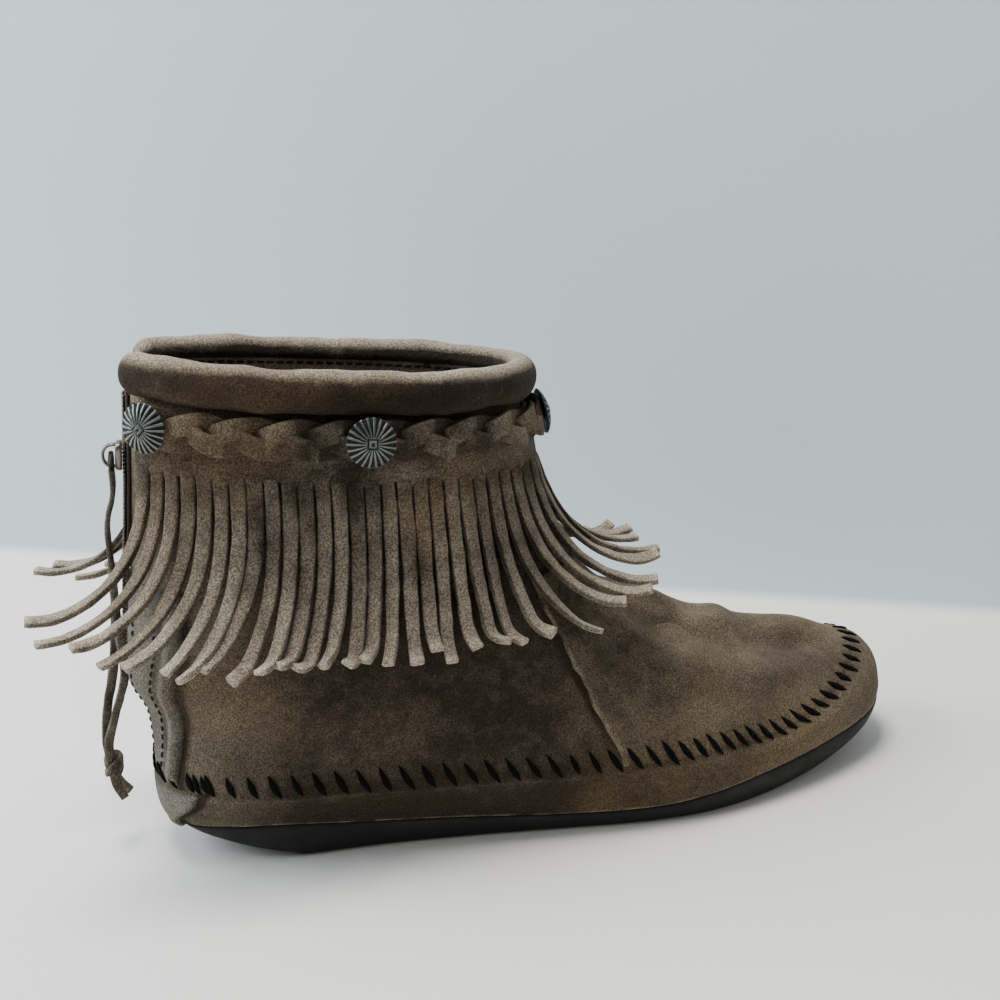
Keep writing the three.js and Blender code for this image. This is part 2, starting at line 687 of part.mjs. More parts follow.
// Suede lace from the slider down to the knot, one strap that crosses under the bridge
function laceSolid() {
  const near = laceRoute.map(routePoint);
  const far = laceRoute.slice(1).map(([behind, y, drop]) => routePoint([behind, -y, drop]));
  const lay = laceRoute.map((unused, i) => new THREE.Vector3(0, i < crossing[0] ? 0 : 1, i < crossing[1] ? 1 : 0));
  return strap([...near.slice().reverse(), ...far], [...lay.slice().reverse(),
    ...lay.slice(1).map((way) => way.clone().setY(-way.y))], laceWidth, laceThick);
}

function knotSolid() {
  const centre = routePoint(knotPlace);
  const rings = [-0.5, -0.36, 0, 0.36, 0.5].map((height) => Array.from({ length: 8 }, (unused, i) => {
    const angle = (2 * Math.PI * (i + 0.5)) / 8;
    const radius = (knotSize / 2) * Math.sqrt(Math.max(1 - 3.2 * height * height, 0.2));
    return centre.clone().add(new THREE.Vector3(
      0.8 * radius * Math.cos(angle), radius * Math.sin(angle), height * knotSize));
  }));
  const ends = endRoutes.map((route) =>
    strap(route.map(routePoint), [new THREE.Vector3(0, 1, 0)], laceWidth, laceThick));
  return fused([solidOf(rings), ...ends]);
}

// Colours
const finishes = {
  suede: { color: 0x6e6254, roughness: 0.95, metalness: 0 },
  fringeSuede: { color: 0x8c7d6c, roughness: 0.95, metalness: 0 },
  rollSuede: { color: 0x6a5c4d, roughness: 0.95, metalness: 0 },
  laceSuede: { color: 0x75685a, roughness: 0.95, metalness: 0 },
  blackRubber: { color: 0x19191b, roughness: 0.7, metalness: 0 },
  pewter: { color: 0x6f7076, roughness: 0.4, metalness: 0.9 },
  zipTape: { color: 0x3a352f, roughness: 0.8, metalness: 0.1 },
  sliderMetal: { color: 0x55504a, roughness: 0.4, metalness: 0.9 },
  insoleLeather: { color: 0x7d6a55, roughness: 0.9, metalness: 0 },
};

const part = new THREE.Group();
part.name = "moccasin_boot";

function addPiece(name, geometry, finish) {
  const piece = new THREE.Mesh(geometry, new THREE.MeshStandardMaterial({ ...finishes[finish] }));
  piece.name = name;
  piece.material.name = finish;
  part.add(piece);
}

addPiece("outsole", outsoleSolid(), "blackRubber");
addPiece("upper", upperSolid(), "suede");
addPiece("insole", insoleSolid(), "insoleLeather");
addPiece("collar_roll", rollSolid(), "rollSuede");
addPiece("fringe", fringeSolid(), "fringeSuede");
addPiece("braid", braidSolid(), "laceSuede");
addPiece("zip", zipSolid(), "zipTape");
addPiece("zip_slider", sliderSolid(), "sliderMetal");
addPiece("zip_pull_lace", laceSolid(), "laceSuede");
addPiece("zip_pull_knot", knotSolid(), "laceSuede");
addPiece("concho_front", conchoSolid(1), "pewter");
addPiece("concho_outer_mid", conchoSolid(-conchoMid), "pewter");
addPiece("concho_outer_back", conchoSolid(-conchoBack), "pewter");
addPiece("concho_inner_mid", conchoSolid(conchoMid), "pewter");
addPiece("concho_inner_back", conchoSolid(conchoBack), "pewter");

export default part;
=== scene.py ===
import math
import bmesh
import bpy
import numpy as np
from mathutils import Matrix


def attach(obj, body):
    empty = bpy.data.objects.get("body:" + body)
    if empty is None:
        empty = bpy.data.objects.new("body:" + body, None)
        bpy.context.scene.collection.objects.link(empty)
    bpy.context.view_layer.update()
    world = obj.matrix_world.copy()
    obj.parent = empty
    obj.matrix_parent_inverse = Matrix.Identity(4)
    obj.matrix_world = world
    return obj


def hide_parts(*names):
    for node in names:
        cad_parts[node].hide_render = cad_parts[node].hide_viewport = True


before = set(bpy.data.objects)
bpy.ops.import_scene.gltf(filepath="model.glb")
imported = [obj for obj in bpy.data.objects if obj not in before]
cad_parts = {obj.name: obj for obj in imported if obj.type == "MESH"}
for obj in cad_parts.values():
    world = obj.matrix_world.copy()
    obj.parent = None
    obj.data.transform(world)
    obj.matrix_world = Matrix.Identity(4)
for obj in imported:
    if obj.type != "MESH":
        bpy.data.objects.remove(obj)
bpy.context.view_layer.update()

rng = np.random.default_rng(7)
mm = 0.001
skyward = np.array([0, 0, 1.0])

# The boot's own sizes in millimetres, as in the solids
size = dict(length=262.0, ball=88.0, shaft=153.0, wall=2.2, toeSwing=6.0, toeSpring=11.0, springStart=0.767,
            soleSpringStart=0.72, heelThick=13.4, bevel=10.6, bevelEnd=0.174, soleBack=0.021, soleFront=1.004)
xBack = -size["length"] / 2
soleBack = xBack + size["soleBack"] * size["length"]
soleLong = (size["soleFront"] - size["soleBack"]) * size["length"]
# Seams: where they run, as shares of the length and as turns, and the lean of the front panel's edge
stripReach, panelLow, panelLean = 0.0477, 0.602, 0.4
heelColumn, panelColumn, grooveColumn = 0.145, 0.52, 0.036
# Plait and band: drop of the plait, reach of the band below it, its thickness and gap, opening at the back
braidDrop, bandBelow, bandThick, bandOut, backGap = 8.6, 14.0, 1.8, 0.6, 0.075
sliderHigh = 0.856

# Sole: share of its length, half widths as shares of the ball width, outer and inner side
soleTable = np.array([
    [0, 0, 0], [.004, .102, .1], [.015, .176, .17], [.04, .239, .233], [.104, .307, .301], [.254, .335, .314],
    [.377, .376, .32], [.476, .42, .36], [.576, .471, .435], [.643, .491, .486], [.693, .488, .494],
    [.778, .444, .436], [.875, .36, .317], [.936, .278, .228], [.965, .22, .174], [.99, .124, .1], [1, 0, 0]])

# Top edge of the sole over the toe spring, as shares of the heel's height
edgeTable = np.array([
    [0, .865], [.06, .985], [.118, 1], [.161, .93], [.21, .825], [.27, .73], [.35, .64], [.43, .54],
    [.52, .47], [.61, .48], [.68, .6], [.75, .735], [.82, .765], [.88, .725], [.93, .615], [1, .45]])

# Levels of the upper: back, front, zBack, zFront, spring, outer, inner, widest, nose, heel, foot, swell, lift
levelTable = np.array([
    [.021, 1.0035, .0641, .0379, 1, .477, .489, .672, 2, 3, 1, 0, 1],
    [.0105, 1.004, .0889, .0667, 1.1, .477, .489, .672, 2, 3, 1, .01, .75],
    [.007, .9931, .1275, .1072, 1.5, .477, .489, .622, 2, 3, .9, .02, .4],
    [.008, .958, .1699, .1458, 2.2, .466, .466, .595, 2, 2.9, .65, .023, 0],
    [.0105, .9198, .2222, .2027, 2, .443, .438, .557, 2, 2.8, .35, .007, 0],
    [.0113, .874, .2712, .2589, 2.2, .42, .409, .511, 1.95, 2.8, .1, 0, 0],
    [.0088, .8187, .3176, .3072, 2.4, .403, .392, .454, 1.9, 2.8, 0, 0, 0],
    [.001, .771, .3516, .3373, 2, .392, .381, .416, 1.9, 2.75, 0, 0, 0],
    [-.0069, .7309, .3824, .3628, 2, .383, .372, .385, 1.9, 2.7, 0, 0, 0],
    [-.0084, .6832, .4183, .3981, 2, .375, .364, .355, 1.9, 2.65, 0, 0, 0],
    [-.0076, .6374, .4575, .4294, 2, .367, .358, .328, 1.95, 2.6, 0, 0, 0],
    [-.0053, .5916, .5033, .4641, 2, .358, .352, .302, 2, 2.5, 0, 0, 0],
    [-.0015, .5534, .5686, .5294, 2, .347, .343, .282, 2.1, 2.4, 0, 0, 0],
    [.0038, .5305, .6471, .6078, 2, .335, .335, .271, 2.2, 2.35, 0, 0, 0],
    [.0099, .5115, .732, .6863, 2, .325, .325, .267, 2.3, 2.3, 0, 0, 0],
    [.0153, .4977, .817, .7647, 2, .315, .315, .263, 2.3, 2.3, 0, 0, 0],
    [.0202, .4885, .9085, .8431, 2, .307, .307, .26, 2.3, 2.3, 0, 0, 0],
    [.0248, .4809, 1, .9216, 2, .301, .301, .26, 2.3, 2.3, 0, 0, 0]])
topLevel = len(levelTable) - 1
stitchLevel = 3.0


def smooth(x, low=0.0, high=1.0):
    # 0 below low, 1 above high, and 3 t^2 - 2 t^3 between them
    t = np.clip((x - low) / (high - low), 0, 1)
    return t * t * (3 - 2 * t)


def bell(x, wide):
    # 1 at zero, falling off on both sides: e to the minus (x / wide) squared
    return np.exp(-(x / wide) ** 2)


def curve(places, values, at):
    # cubic pieces through the rows; the slope at a row is that of the line between its neighbours
    places, values, at = (np.asarray(a, float) for a in (places, values, at))
    last = len(places) - 1
    k = np.searchsorted(places[1:last], at, side="left")
    low, high = np.maximum(np.arange(last + 1) - 1, 0), np.minimum(np.arange(last + 1) + 1, last)
    wide = (places[high] - places[low]).reshape((-1,) + (1,) * (values.ndim - 1))
    slope = (values[high] - values[low]) / wide
    span = places[k + 1] - places[k]
    s = np.clip((at - places[k]) / span, 0, 1)
    if values.ndim > 1:
        s, span = s[..., None], span[..., None]
    a, b = 2 * s**3 - 3 * s**2 + 1, s**3 - 2 * s**2 + s
    c, d = 3 * s**2 - 2 * s**3, s**3 - s**2
    return a * values[k] + b * span * slope[k] + c * values[k + 1] + d * span * slope[k + 1]


def soleHalf(share, side):
    # half width at a share of the length, with the rows spaced by angle so that the ends come round
    angle = np.arccos(np.clip(1 - 2 * share, -1, 1))
    rows = np.arccos(np.clip(1 - 2 * soleTable[:, 0], -1, 1))
    both = curve(rows, soleTable[:, 1:], angle)
    return size["ball"] * np.maximum(np.where(side < 0, both[..., 0], both[..., 1]), 0)


def axisY(x):
    # the long axis swings to the inner side from mid foot to toe, as a power of the distance
    return size["toeSwing"] * np.clip((x + 10) / (-xBack + 10), 0, 1) ** 1.3


def springZ(x, begin="springStart"):
    # toe spring: flat up to its start, then rising as the square of the distance
    start = xBack + size[begin] * size["length"]
    return np.where(x < start, 0, size["toeSpring"] * ((x - start) / (-xBack - start)) ** 2)


def soleTop(x):
    # share of the heel height from the table, plus the toe spring
    share = np.clip((x - soleBack) / soleLong, 0, 1)
    return size["heelThick"] * curve(edgeTable[:, 0], edgeTable[:, 1], share) + springZ(x, "soleSpringStart")


def soleUnder(x):
    # the toe spring, plus the bevel that rises towards the back of the heel
    end = xBack + size["bevelEnd"] * size["length"]
    bevel = size["bevel"] * np.clip((end - x) / (end - soleBack), 0, 1) ** 0.95
    return springZ(x, "soleSpringStart") + bevel


def shareOf(column):
    # even columns turned into shares of the length by a cosine, closer at both ends
    return (1 - np.cos(np.pi * column)) / 2


def wrapped(turn):
    # the same turn, brought back into -1..1
    return np.where(turn > 1, turn - 2, np.where(turn < -1, turn + 2, turn))


def skin(turn, level):
    # outside of the upper: turn 0 heel, -1..0 outer side, 0..1 inner side; level 0 sole, top collar
    turn, level = np.broadcast_arrays(np.asarray(turn, float), np.asarray(level, float))
    turn = wrapped(turn)
    side = np.where(turn < 0, -1.0, 1.0)
    rows = curve(np.arange(topLevel + 1), levelTable, level)
    (back, front, zBack, zFront, spring, outer, inner, widest, nose, heel, foot, swell,
     lift) = np.moveaxis(rows, -1, 0)
    xLow, xHigh = xBack + back * size["length"], xBack + front * size["length"]
    length = xHigh - xLow
    seamX = xBack + panelLow * size["length"] - panelLean * (zBack + 0.6 * (zFront - zBack)) * size["shaft"]
    base, column = shareOf(np.abs(turn)), np.abs(turn)
    heelSeam, panelSeam = stripReach * size["length"] / length, (seamX - xLow) / length
    heelBase, panelBase = shareOf(heelColumn), shareOf(panelColumn)
    share = np.where(column <= heelColumn, base * heelSeam / heelBase,
                     np.where(column >= panelColumn, 1 - (1 - base) * (1 - panelSeam) / (1 - panelBase),
                              heelSeam + (panelSeam - heelSeam) * (base - heelBase) / (panelBase - heelBase)))
    share = np.clip(share, 0, 1)
    x = xLow + length * share
    wide = (widest - back) / (front - back)
    away = np.where(share < wide, 1 - share / wide, (share - wide) / (1 - wide))
    full = np.where(share < wide, heel, nose)
    bullet = np.sqrt(np.maximum(1 - np.maximum(away, 0) ** full, 0))
    bullet = np.where(side < 0, outer, inner) * size["ball"] * bullet
    ends = np.sqrt(np.maximum(1 - (2 * share - 1) ** 6, 0))
    half = bullet + (soleHalf(share, side) - bullet) * np.clip(foot, 0, 1) + swell * size["ball"] * ends
    sag = np.clip((level - 12) / 4, 0, 1) * 4 * share * (1 - share)
    z = (zBack + (zFront - zBack) * share) * size["shaft"] + spring * springZ(x) - sag
    low, high = levelTable[0, 2:4]
    z = z + lift * (soleTop(x) + 0.3 - (low + (high - low) * share) * size["shaft"] - springZ(x))
    return np.stack([x, axisY(x) + side * half, z], -1)


def outward(turn, level):
    # normal of the upper: the way round crossed with the way up, both by small steps
    around = skin(turn + 0.004, level) - skin(turn - 0.004, level)
    rise = skin(turn, np.minimum(level + 0.1, topLevel)) - skin(turn, np.maximum(level - 0.1, 0))
    return unit(-np.cross(around, rise))


def shifted(turn, level, out):
    # point of the upper, moved out along its normal
    return skin(turn, level) + outward(turn, level) * np.asarray(out)[..., None]


def levelAt(turn, z):
    # level at which the upper has this height, found by halving the range 22 times
    low, high = np.full(np.shape(turn), stitchLevel), np.full(np.shape(turn), float(topLevel))
    for _ in range(22):
        middle = (low + high) / 2
        under = skin(turn, middle)[..., 2] < z
        low, high = np.where(under, middle, low), np.where(under, high, middle)
    return (low + high) / 2


def levelBelow(turn, drop):
    # level of the line a drop below the top edge
    return levelAt(turn, skin(turn, topLevel)[..., 2] - drop)


def shaftRun(drop, out, start, end, count):
    # evenly spaced places round the shaft, a drop below its top edge, from the inner back to the outer back
    turn = np.linspace(start, end, 900)
    far = lengthAlong(shifted(wrapped(turn), levelBelow(wrapped(turn), drop), out))
    want = np.linspace(0, far[-1], count)
    turn = wrapped(np.interp(want, far, turn))
    level = levelBelow(turn, drop)
    point = shifted(turn, level, out)
    ahead = unit(np.gradient(point, axis=0))
    return dict(turn=turn, point=point, out=outward(turn, level), ahead=ahead, total=far[-1], far=want)


def unit(v):
    # each vector divided by its own length
    return v / np.maximum(np.linalg.norm(v, axis=-1, keepdims=True), 1e-9)


def facing(v, guide):
    # each vector turned round where it points against its guide
    return np.where(np.sum(v * guide, -1, keepdims=True) < 0, -v, v)


def circle(count, offset=0.0):
    # even angles once round
    return 2 * np.pi * (np.arange(count) + offset) / count


def rounded(v, power):
    # a power of the value that keeps its sign
    return np.sign(v) * np.abs(v) ** power


def lengthAlong(line):
    # distance of each point from the first, along the line
    return np.concatenate([[0], np.cumsum(np.linalg.norm(np.diff(line, axis=0), axis=1))])


def pointsAt(want, far, line):
    # points of the line at the wanted distances
    return np.stack([np.interp(want, far, line[:, i]) for i in range(3)], 1)


def roughened(rings, path, amount, waves, seed):
    # rings pushed out from their middle line by a little of the uneven field
    return rings + unit(rings - path[..., None, :]) * (amount * ripple(rings, waves, seed))[..., None]


def ripple(p, waves, seed=1):
    # smooth uneven field of about -1..1: a sum of sines along odd directions
    r = np.random.default_rng(seed)
    total = np.zeros(p.shape[:-1])
    for _ in range(7):
        way = unit(r.normal(size=3))
        total += np.sin(p @ way * (2 * np.pi / (waves * r.uniform(0.6, 1.7))) + r.uniform(0, 6.28))
    return total / 3.2


def link(name, data):
    piece = bpy.data.objects.new(name, data)
    bpy.context.scene.collection.objects.link(piece)
    return piece


def meshOf(name, points, quads, tris=None, tone=None, wearAndHighlight=None, merge=False):
    # a mesh from millimetre points, with optional values per point for the materials
    tris = np.zeros((0, 3), int) if tris is None else tris
    mesh = bpy.data.meshes.new(name)
    mesh.vertices.add(len(points))
    mesh.vertices.foreach_set("co", (points * mm).astype(np.float32).ravel())
    mesh.loops.add(quads.size + tris.size)
    mesh.loops.foreach_set("vertex_index", np.concatenate([quads.ravel(), tris.ravel()]).astype(np.int32))
    starts = np.concatenate([np.arange(len(quads)) * 4, quads.size + np.arange(len(tris)) * 3])
    mesh.polygons.add(len(starts))
    mesh.polygons.foreach_set("loop_start", starts.astype(np.int32))
    mesh.polygons.foreach_set("use_smooth", np.ones(len(starts), bool))
    mesh.update(calc_edges=True)
    for label, value in (("tone", tone), ("wearAndHighlight", wearAndHighlight)):
        if value is not None:
            layer = mesh.attributes.new(label, "FLOAT", "POINT")
            layer.data.foreach_set("value", np.ravel(value).astype(np.float32))
    if merge:
        work = bmesh.new()
        work.from_mesh(mesh)
        bmesh.ops.remove_doubles(work, verts=work.verts, dist=2e-6)
        bmesh.ops.dissolve_degenerate(work, edges=work.edges, dist=1e-7)
        bmesh.ops.recalc_face_normals(work, faces=work.faces)
        work.to_mesh(mesh)
        work.free()
    return link(name, mesh)


def gridFaces(rows, columns, wrapRows=False, wrapColumns=False, start=0):
    # four-sided faces of a grid of points, row by row, closed round where it wraps
    i = np.arange(rows if wrapRows else rows - 1)
    j = np.arange(columns if wrapColumns else columns - 1)
    i, j = (a.ravel() for a in np.meshgrid(i, j, indexing="ij"))
    k, m = (i + 1) % rows, (j + 1) % columns
    return np.stack([i * columns + j, i * columns + m, k * columns + m, k * columns + j], 1) + start


def insideOut(points, faces):
    # inside out where the volume under the faces, summed with their sense, is negative
    a, b, c = points[faces[:, 0]], points[faces[:, 1]], points[faces[:, 2]]
    volume = np.einsum("ij,ij->", a, np.cross(b, c))
    if faces.shape[1] == 4:
        volume += np.einsum("ij,ij->", a, np.cross(c, points[faces[:, 3]]))
    return volume < 0


def turnedOut(points, faces):
    return faces[:, ::-1] if insideOut(points, faces) else faces


def tubes(name, rings, tone, wearAndHighlight):
    # closed tubes: rings has tube, ring, point round it, xyz; a fan round its middle closes each end
    rings = rings.reshape(-1, *rings.shape[-3:])
    count, along, around = rings.shape[:3]
    points = rings.reshape(-1, 3)
    quads = gridFaces(along, around, False, True)
    quads = (quads[None] + (np.arange(count) * along * around)[:, None, None]).reshape(-1, 4)
    middles = np.stack([rings[:, 0].mean(1), rings[:, -1].mean(1)], 1).reshape(-1, 3)
    first = np.arange(count) * along * around
    j, follow = np.arange(around), (np.arange(around) + 1) % around
    middle = len(points) + 2 * np.arange(count)[:, None]
    last = first + (along - 1) * around
    near, far = (np.stack(np.broadcast_arrays(hub, ring[:, None] + a, ring[:, None] + b), -1).reshape(-1, 3)
                 for hub, ring, a, b in ((middle, first, follow, j), (middle + 1, last, j, follow)))
    everything = np.concatenate([points, middles])
    if insideOut(everything, quads[: along * around]):
        quads, near, far = quads[:, ::-1], near[:, ::-1], far[:, ::-1]

    def withEnds(value):
        value = np.broadcast_to(value, rings.shape[:3])
        ends = np.stack([value[:, 0].mean(1), value[:, -1].mean(1)], 1)
        return np.concatenate([value.ravel(), ends.ravel()])

    return meshOf(name, everything, quads, np.concatenate([near, far]), withEnds(tone), withEnds(wearAndHighlight))


def ribbonRings(path, across, wide, thick, around=12, square=3.2):
    # section: a superellipse wide by thick, carried along each path without twist beyond across
    ahead = unit(np.gradient(path, axis=-2))
    across = np.broadcast_to(across, path.shape)
    wideWay = unit(across - ahead * np.sum(across * ahead, -1, keepdims=True))
    deepWay = np.cross(ahead, wideWay)
    c, s = (rounded(way(circle(around, 0.5)), 2 / square) for way in (np.cos, np.sin))
    wide, thick = np.broadcast_to(wide, path.shape[:-1]), np.broadcast_to(thick, path.shape[:-1])
    return (path[..., None, :] + wideWay[..., None, :] * (wide[..., None] * c / 2)[..., None]
            + deepWay[..., None, :] * (thick[..., None] * s / 2)[..., None])


# Soft troughs and ridges of the leather: start x and y, end x and y, half width, rise
creases = np.array([
    [34, 4, 50, -5, 5, 2], [44, -16, 58, 3, 4.5, -2.8], [66, -4, 70, 12, 5, 1.7],
    [38, -27, 70, -24, 4.4, 2.9], [75, -23, 105, -11, 4.2, 2.6], [34, -15, 60, -14, 5, -3],
    [74, -11, 98, -9, 5.5, -3.2], [16, -20, 26, -34, 4.5, -1.3], [60, -32, 84, -27, 5, -.9],
    [86, 4, 106, 6, 6, .9], [60, 16, 84, 10, 8, -.8], [30, 26, 60, 34, 7, .7], [-30, -28, -4, -33, 9, .6],
    [-92, -24, -60, -30, 12, -.6]])


def leather(turn, level):
    # out of the plain form: slow unevenness, the listed creases, and puckers along the laced seam
    p = skin(turn, level)
    spot = p[..., None, :2]
    a, b = creases[:, 0:2], creases[:, 2:4]
    share = np.clip(np.sum((spot - a) * (b - a), -1) / np.sum((b - a) ** 2, -1), 0, 1)
    away = np.linalg.norm(spot - (a + share[..., None] * (b - a)), axis=-1)
    fold = np.sum(creases[:, 5] * bell(away, creases[:, 4]), -1) * smooth(level, 3.3, 5.0)
    slow = 0.45 * ripple(p, 46.0, 3) * smooth(level, 3.0, 6.0) * (1 - smooth(level, 12.5, 15))
    return fold + slow + pucker(turn, level)


def pucker(turn, level):
    # the laced seam draws the leather in at each stitch and lets it swell between two stitches
    phase = np.interp(turn, laced["turn"], laced["phase"])
    near = bell(level - stitchLevel, 0.55)
    line = bell(level - stitchLevel, 0.12)
    return near * (0.30 * np.cos(2 * np.pi * phase) - 0.06) - 0.16 * line


def onLeather(turn, level, out):
    # point of the upper with its creases, moved out along the normal
    return shifted(turn, level, leather(turn, level) + out)


laceGaps = [7.0, 6.7, 5.6, 5.3, 5.2]


def laceMarks():
    # turns along the seam with the count of stitches passed; the gap is wider at the heel than at the toe
    turn = np.linspace(-1, 1, 4001)
    line = skin(turn, stitchLevel)
    far = lengthAlong(line)
    gap = np.interp(line[:, 0], [-90, 22, 38, 60, 110], laceGaps)
    phase = np.concatenate([[0], np.cumsum(np.diff(far) / ((gap[1:] + gap[:-1]) / 2))])
    return dict(turn=turn, phase=phase * round(phase[-1]) / phase[-1])


laced = laceMarks()


def slab(name, turn, level, face, back, tone, wearAndHighlight):
    # a piece of leather lying on the upper: turn and level are grids, face and back its two offsets
    front = onLeather(turn, level, face)
    rear = onLeather(turn, level, back)
    rows, columns = turn.shape
    points = np.concatenate([front.reshape(-1, 3), rear.reshape(-1, 3)])
    faces = gridFaces(rows, columns)
    behind = faces[:, ::-1] + rows * columns
    index = np.arange(rows * columns).reshape(rows, columns)
    rim = np.concatenate([index[0, :-1], index[:-1, -1], index[-1, :0:-1], index[:0:-1, 0]])
    follow = np.roll(rim, -1)
    edge = np.stack([follow, rim, rim + rows * columns, follow + rows * columns], 1)
    quads = turnedOut(points, np.concatenate([faces, behind, edge]))
    both = (np.tile(np.broadcast_to(v, turn.shape).ravel(), 2) for v in (tone, wearAndHighlight))
    return meshOf(name, points, quads, None, *both)


# Camera fitted to the photo: metres, degrees, millimetres
fitted = dict(place=(-0.1097, -0.3949, 0.2366), yaw=13.97, pitch=17.97, roll=-1.5, lens=46.8, sensor=36)


def turnedPlace(x, y, z, place):
    # the matrix of an object from its three directions and its place
    pose = np.eye(4)
    pose[:3, :3], pose[:3, 3] = np.stack([x, y, z], 1), place
    return Matrix(pose.tolist())


def makeCamera():
    # heading and right lie level; the view is tipped down by the pitch, then the picture is rolled
    camera = bpy.data.cameras.new("camera")
    camera.sensor_width, camera.lens = fitted["sensor"], fitted["lens"]
    camera.clip_start, camera.clip_end = 0.01, 20
    yaw, pitch, roll = (math.radians(fitted[k]) for k in ("yaw", "pitch", "roll"))
    heading, right = (np.array([math.sin(a), math.cos(a), 0]) for a in (yaw, yaw + math.pi / 2))
    view = math.cos(pitch) * heading - math.sin(pitch) * skyward
    over = math.sin(pitch) * heading + math.cos(pitch) * skyward
    sideWay = math.cos(roll) * right + math.sin(roll) * over
    upWay = -math.sin(roll) * right + math.cos(roll) * over
    eye = link("camera", camera)
    eye.matrix_world = turnedPlace(sideWay, upWay, -view, fitted["place"])
    bpy.context.scene.camera = eye


makeCamera()
print("camera done")


def newGroup(name, inputs, outputs):
    group = bpy.data.node_groups.new(name, "ShaderNodeTree")
    for label, kind, value in inputs:
        socket = group.interface.new_socket(label, in_out="INPUT", socket_type="NodeSocket" + kind)
        socket.default_value = value
    for label, kind in outputs:
        group.interface.new_socket(label, in_out="OUTPUT", socket_type="NodeSocket" + kind)
    return group, group.nodes.new("NodeGroupInput"), group.nodes.new("NodeGroupOutput")


def fill(node, values):
    # inputs by name or number: a socket is linked and a constant is set
    for label, value in values.items():
        if isinstance(value, bpy.types.NodeSocket):
            node.id_data.links.new(value, node.inputs[label])
        else:
            node.inputs[label].default_value = value


class Net:
    # short calls for building nodes
    def __init__(self, tree):
        self.tree = tree
        self.place = tree.nodes.new("ShaderNodeTexCoord").outputs["Object"]

    def node(self, kind, **settings):
        made = self.tree.nodes.new("ShaderNode" + kind)
        for key, value in settings.items():
            setattr(made, key, value)
        return made

    def put(self, kind, out, values, **settings):
        # a node with its settings and inputs, handed back as its output
        made = self.node(kind, **settings)
        fill(made, values)
        return made.outputs[out]

    def noise(self, scale, detail=3.0, rough=0.55, warp=0.0):
        values = {"Scale": scale, "Detail": detail, "Roughness": rough, "Distortion": warp}
        return self.put("TexNoise", "Fac", {"Vector": self.place, **values})

    def math(self, how, a, b, clamp=False):
        return self.put("Math", 0, {0: a, 1: b}, operation=how, use_clamp=clamp)

    def add(self, a, b, clamp=False):
        return self.math("ADD", a, b, clamp)

    def times(self, a, b):
        return self.math("MULTIPLY", a, b)

    def swing(self, noise, amount):
        # a noise about its middle, times an amount
        return self.times(self.math("SUBTRACT", noise, 0.5), amount)

    def span(self, value, low, high, out0=0.0, out1=1.0):
        # out0 below low, out1 above high, and a smooth step between them
        values = {"Value": value, "From Min": low, "From Max": high, "To Min": out0, "To Max": out1}
        return self.put("MapRange", "Result", values, interpolation_type="SMOOTHSTEP")

    def mix(self, share, a, b, how="MIX"):
        # colour a where the share is 0 and b where it is 1
        return self.put("Mix", "Result", {"Factor": share, "A": a, "B": b}, data_type="RGBA", blend_type=how)

    def scaled(self, colour, amount):
        # a colour times one amount
        grey = self.put("CombineColor", "Color", dict.fromkeys(("Red", "Green", "Blue"), amount))
        return self.mix(1.0, colour, grey, "MULTIPLY")

    def attribute(self, label):
        return self.node("Attribute", attribute_name=label).outputs["Fac"]

    def bump(self, height, distance):
        return self.put("Bump", "Normal", {"Distance": distance, "Height": height})


def linear(red, green, blue):
    # screen colour of 0 to 255 turned into linear light
    parts = [v / 255 for v in (red, green, blue)]
    return tuple(v / 12.92 if v <= 0.04045 else ((v + 0.055) / 1.055) ** 2.4 for v in parts) + (1.0,)


def makeNap():
    # suede: a fine uneven nap of light and dark fibre ends, brushed patches, slow colour drift
    group, given, result = newGroup("suedeNap", [
        ("Dark", "Color", (0.1, 0.1, 0.1, 1)), ("Light", "Color", (0.3, 0.3, 0.3, 1)),
        ("Warm", "Color", (0.3, 0.2, 0.1, 1)), ("Tone", "Float", 0.5), ("WearAndHighlight", "Float", 0.0),
        ("Coarse", "Float", 1.0), ("Grain", "Float", 0.4), ("Patch", "Float", 1.0)],
        [("Color", "Color"), ("Roughness", "Float"), ("Height", "Float")])
    n, coarse = Net(group), given.outputs["Coarse"]
    fine = n.noise(n.times(coarse, 2100.0), 3.0, 0.65)
    grain = n.noise(n.times(coarse, 900.0), 3.0, 0.6, warp=0.5)
    tuft = n.noise(230.0, 3.0, 0.6, warp=0.6)
    brush = n.noise(80.0, 4.0, 0.6, warp=0.8)
    drift = n.noise(17.0, 3.0, 0.5)
    lift = n.times(n.add(n.swing(brush, 0.6), n.swing(drift, 0.55)), given.outputs["Patch"])
    lift = n.add(lift, n.swing(tuft, 0.35))
    # tone, holding painted shade in places, and wear with painted highlights move the nap between dark and
    # light
    share = n.add(n.add(given.outputs["Tone"], lift), n.times(given.outputs["WearAndHighlight"], 0.55), clamp=True)
    body = n.mix(share, given.outputs["Dark"], given.outputs["Light"])
    body = n.mix(n.span(drift, 0.50, 0.74, 0.0, 0.6), body, given.outputs["Warm"])
    speck = n.add(n.span(fine, 0.38, 0.68, 0.52, 1.72), n.swing(grain, given.outputs["Grain"]))
    fill(result, {"Color": n.scaled(body, speck), "Roughness": n.span(brush, 0.3, 0.7, 0.86, 0.98),
                  "Height": n.add(n.times(fine, 0.6), grain)})
    return group


napGroup = makeNap()


def newMaterial(name):
    material = bpy.data.materials.new(name)
    material.use_nodes = True
    tree = material.node_tree
    shader = next(n for n in tree.nodes if n.type == "BSDF_PRINCIPLED")
    return material, Net(tree), shader


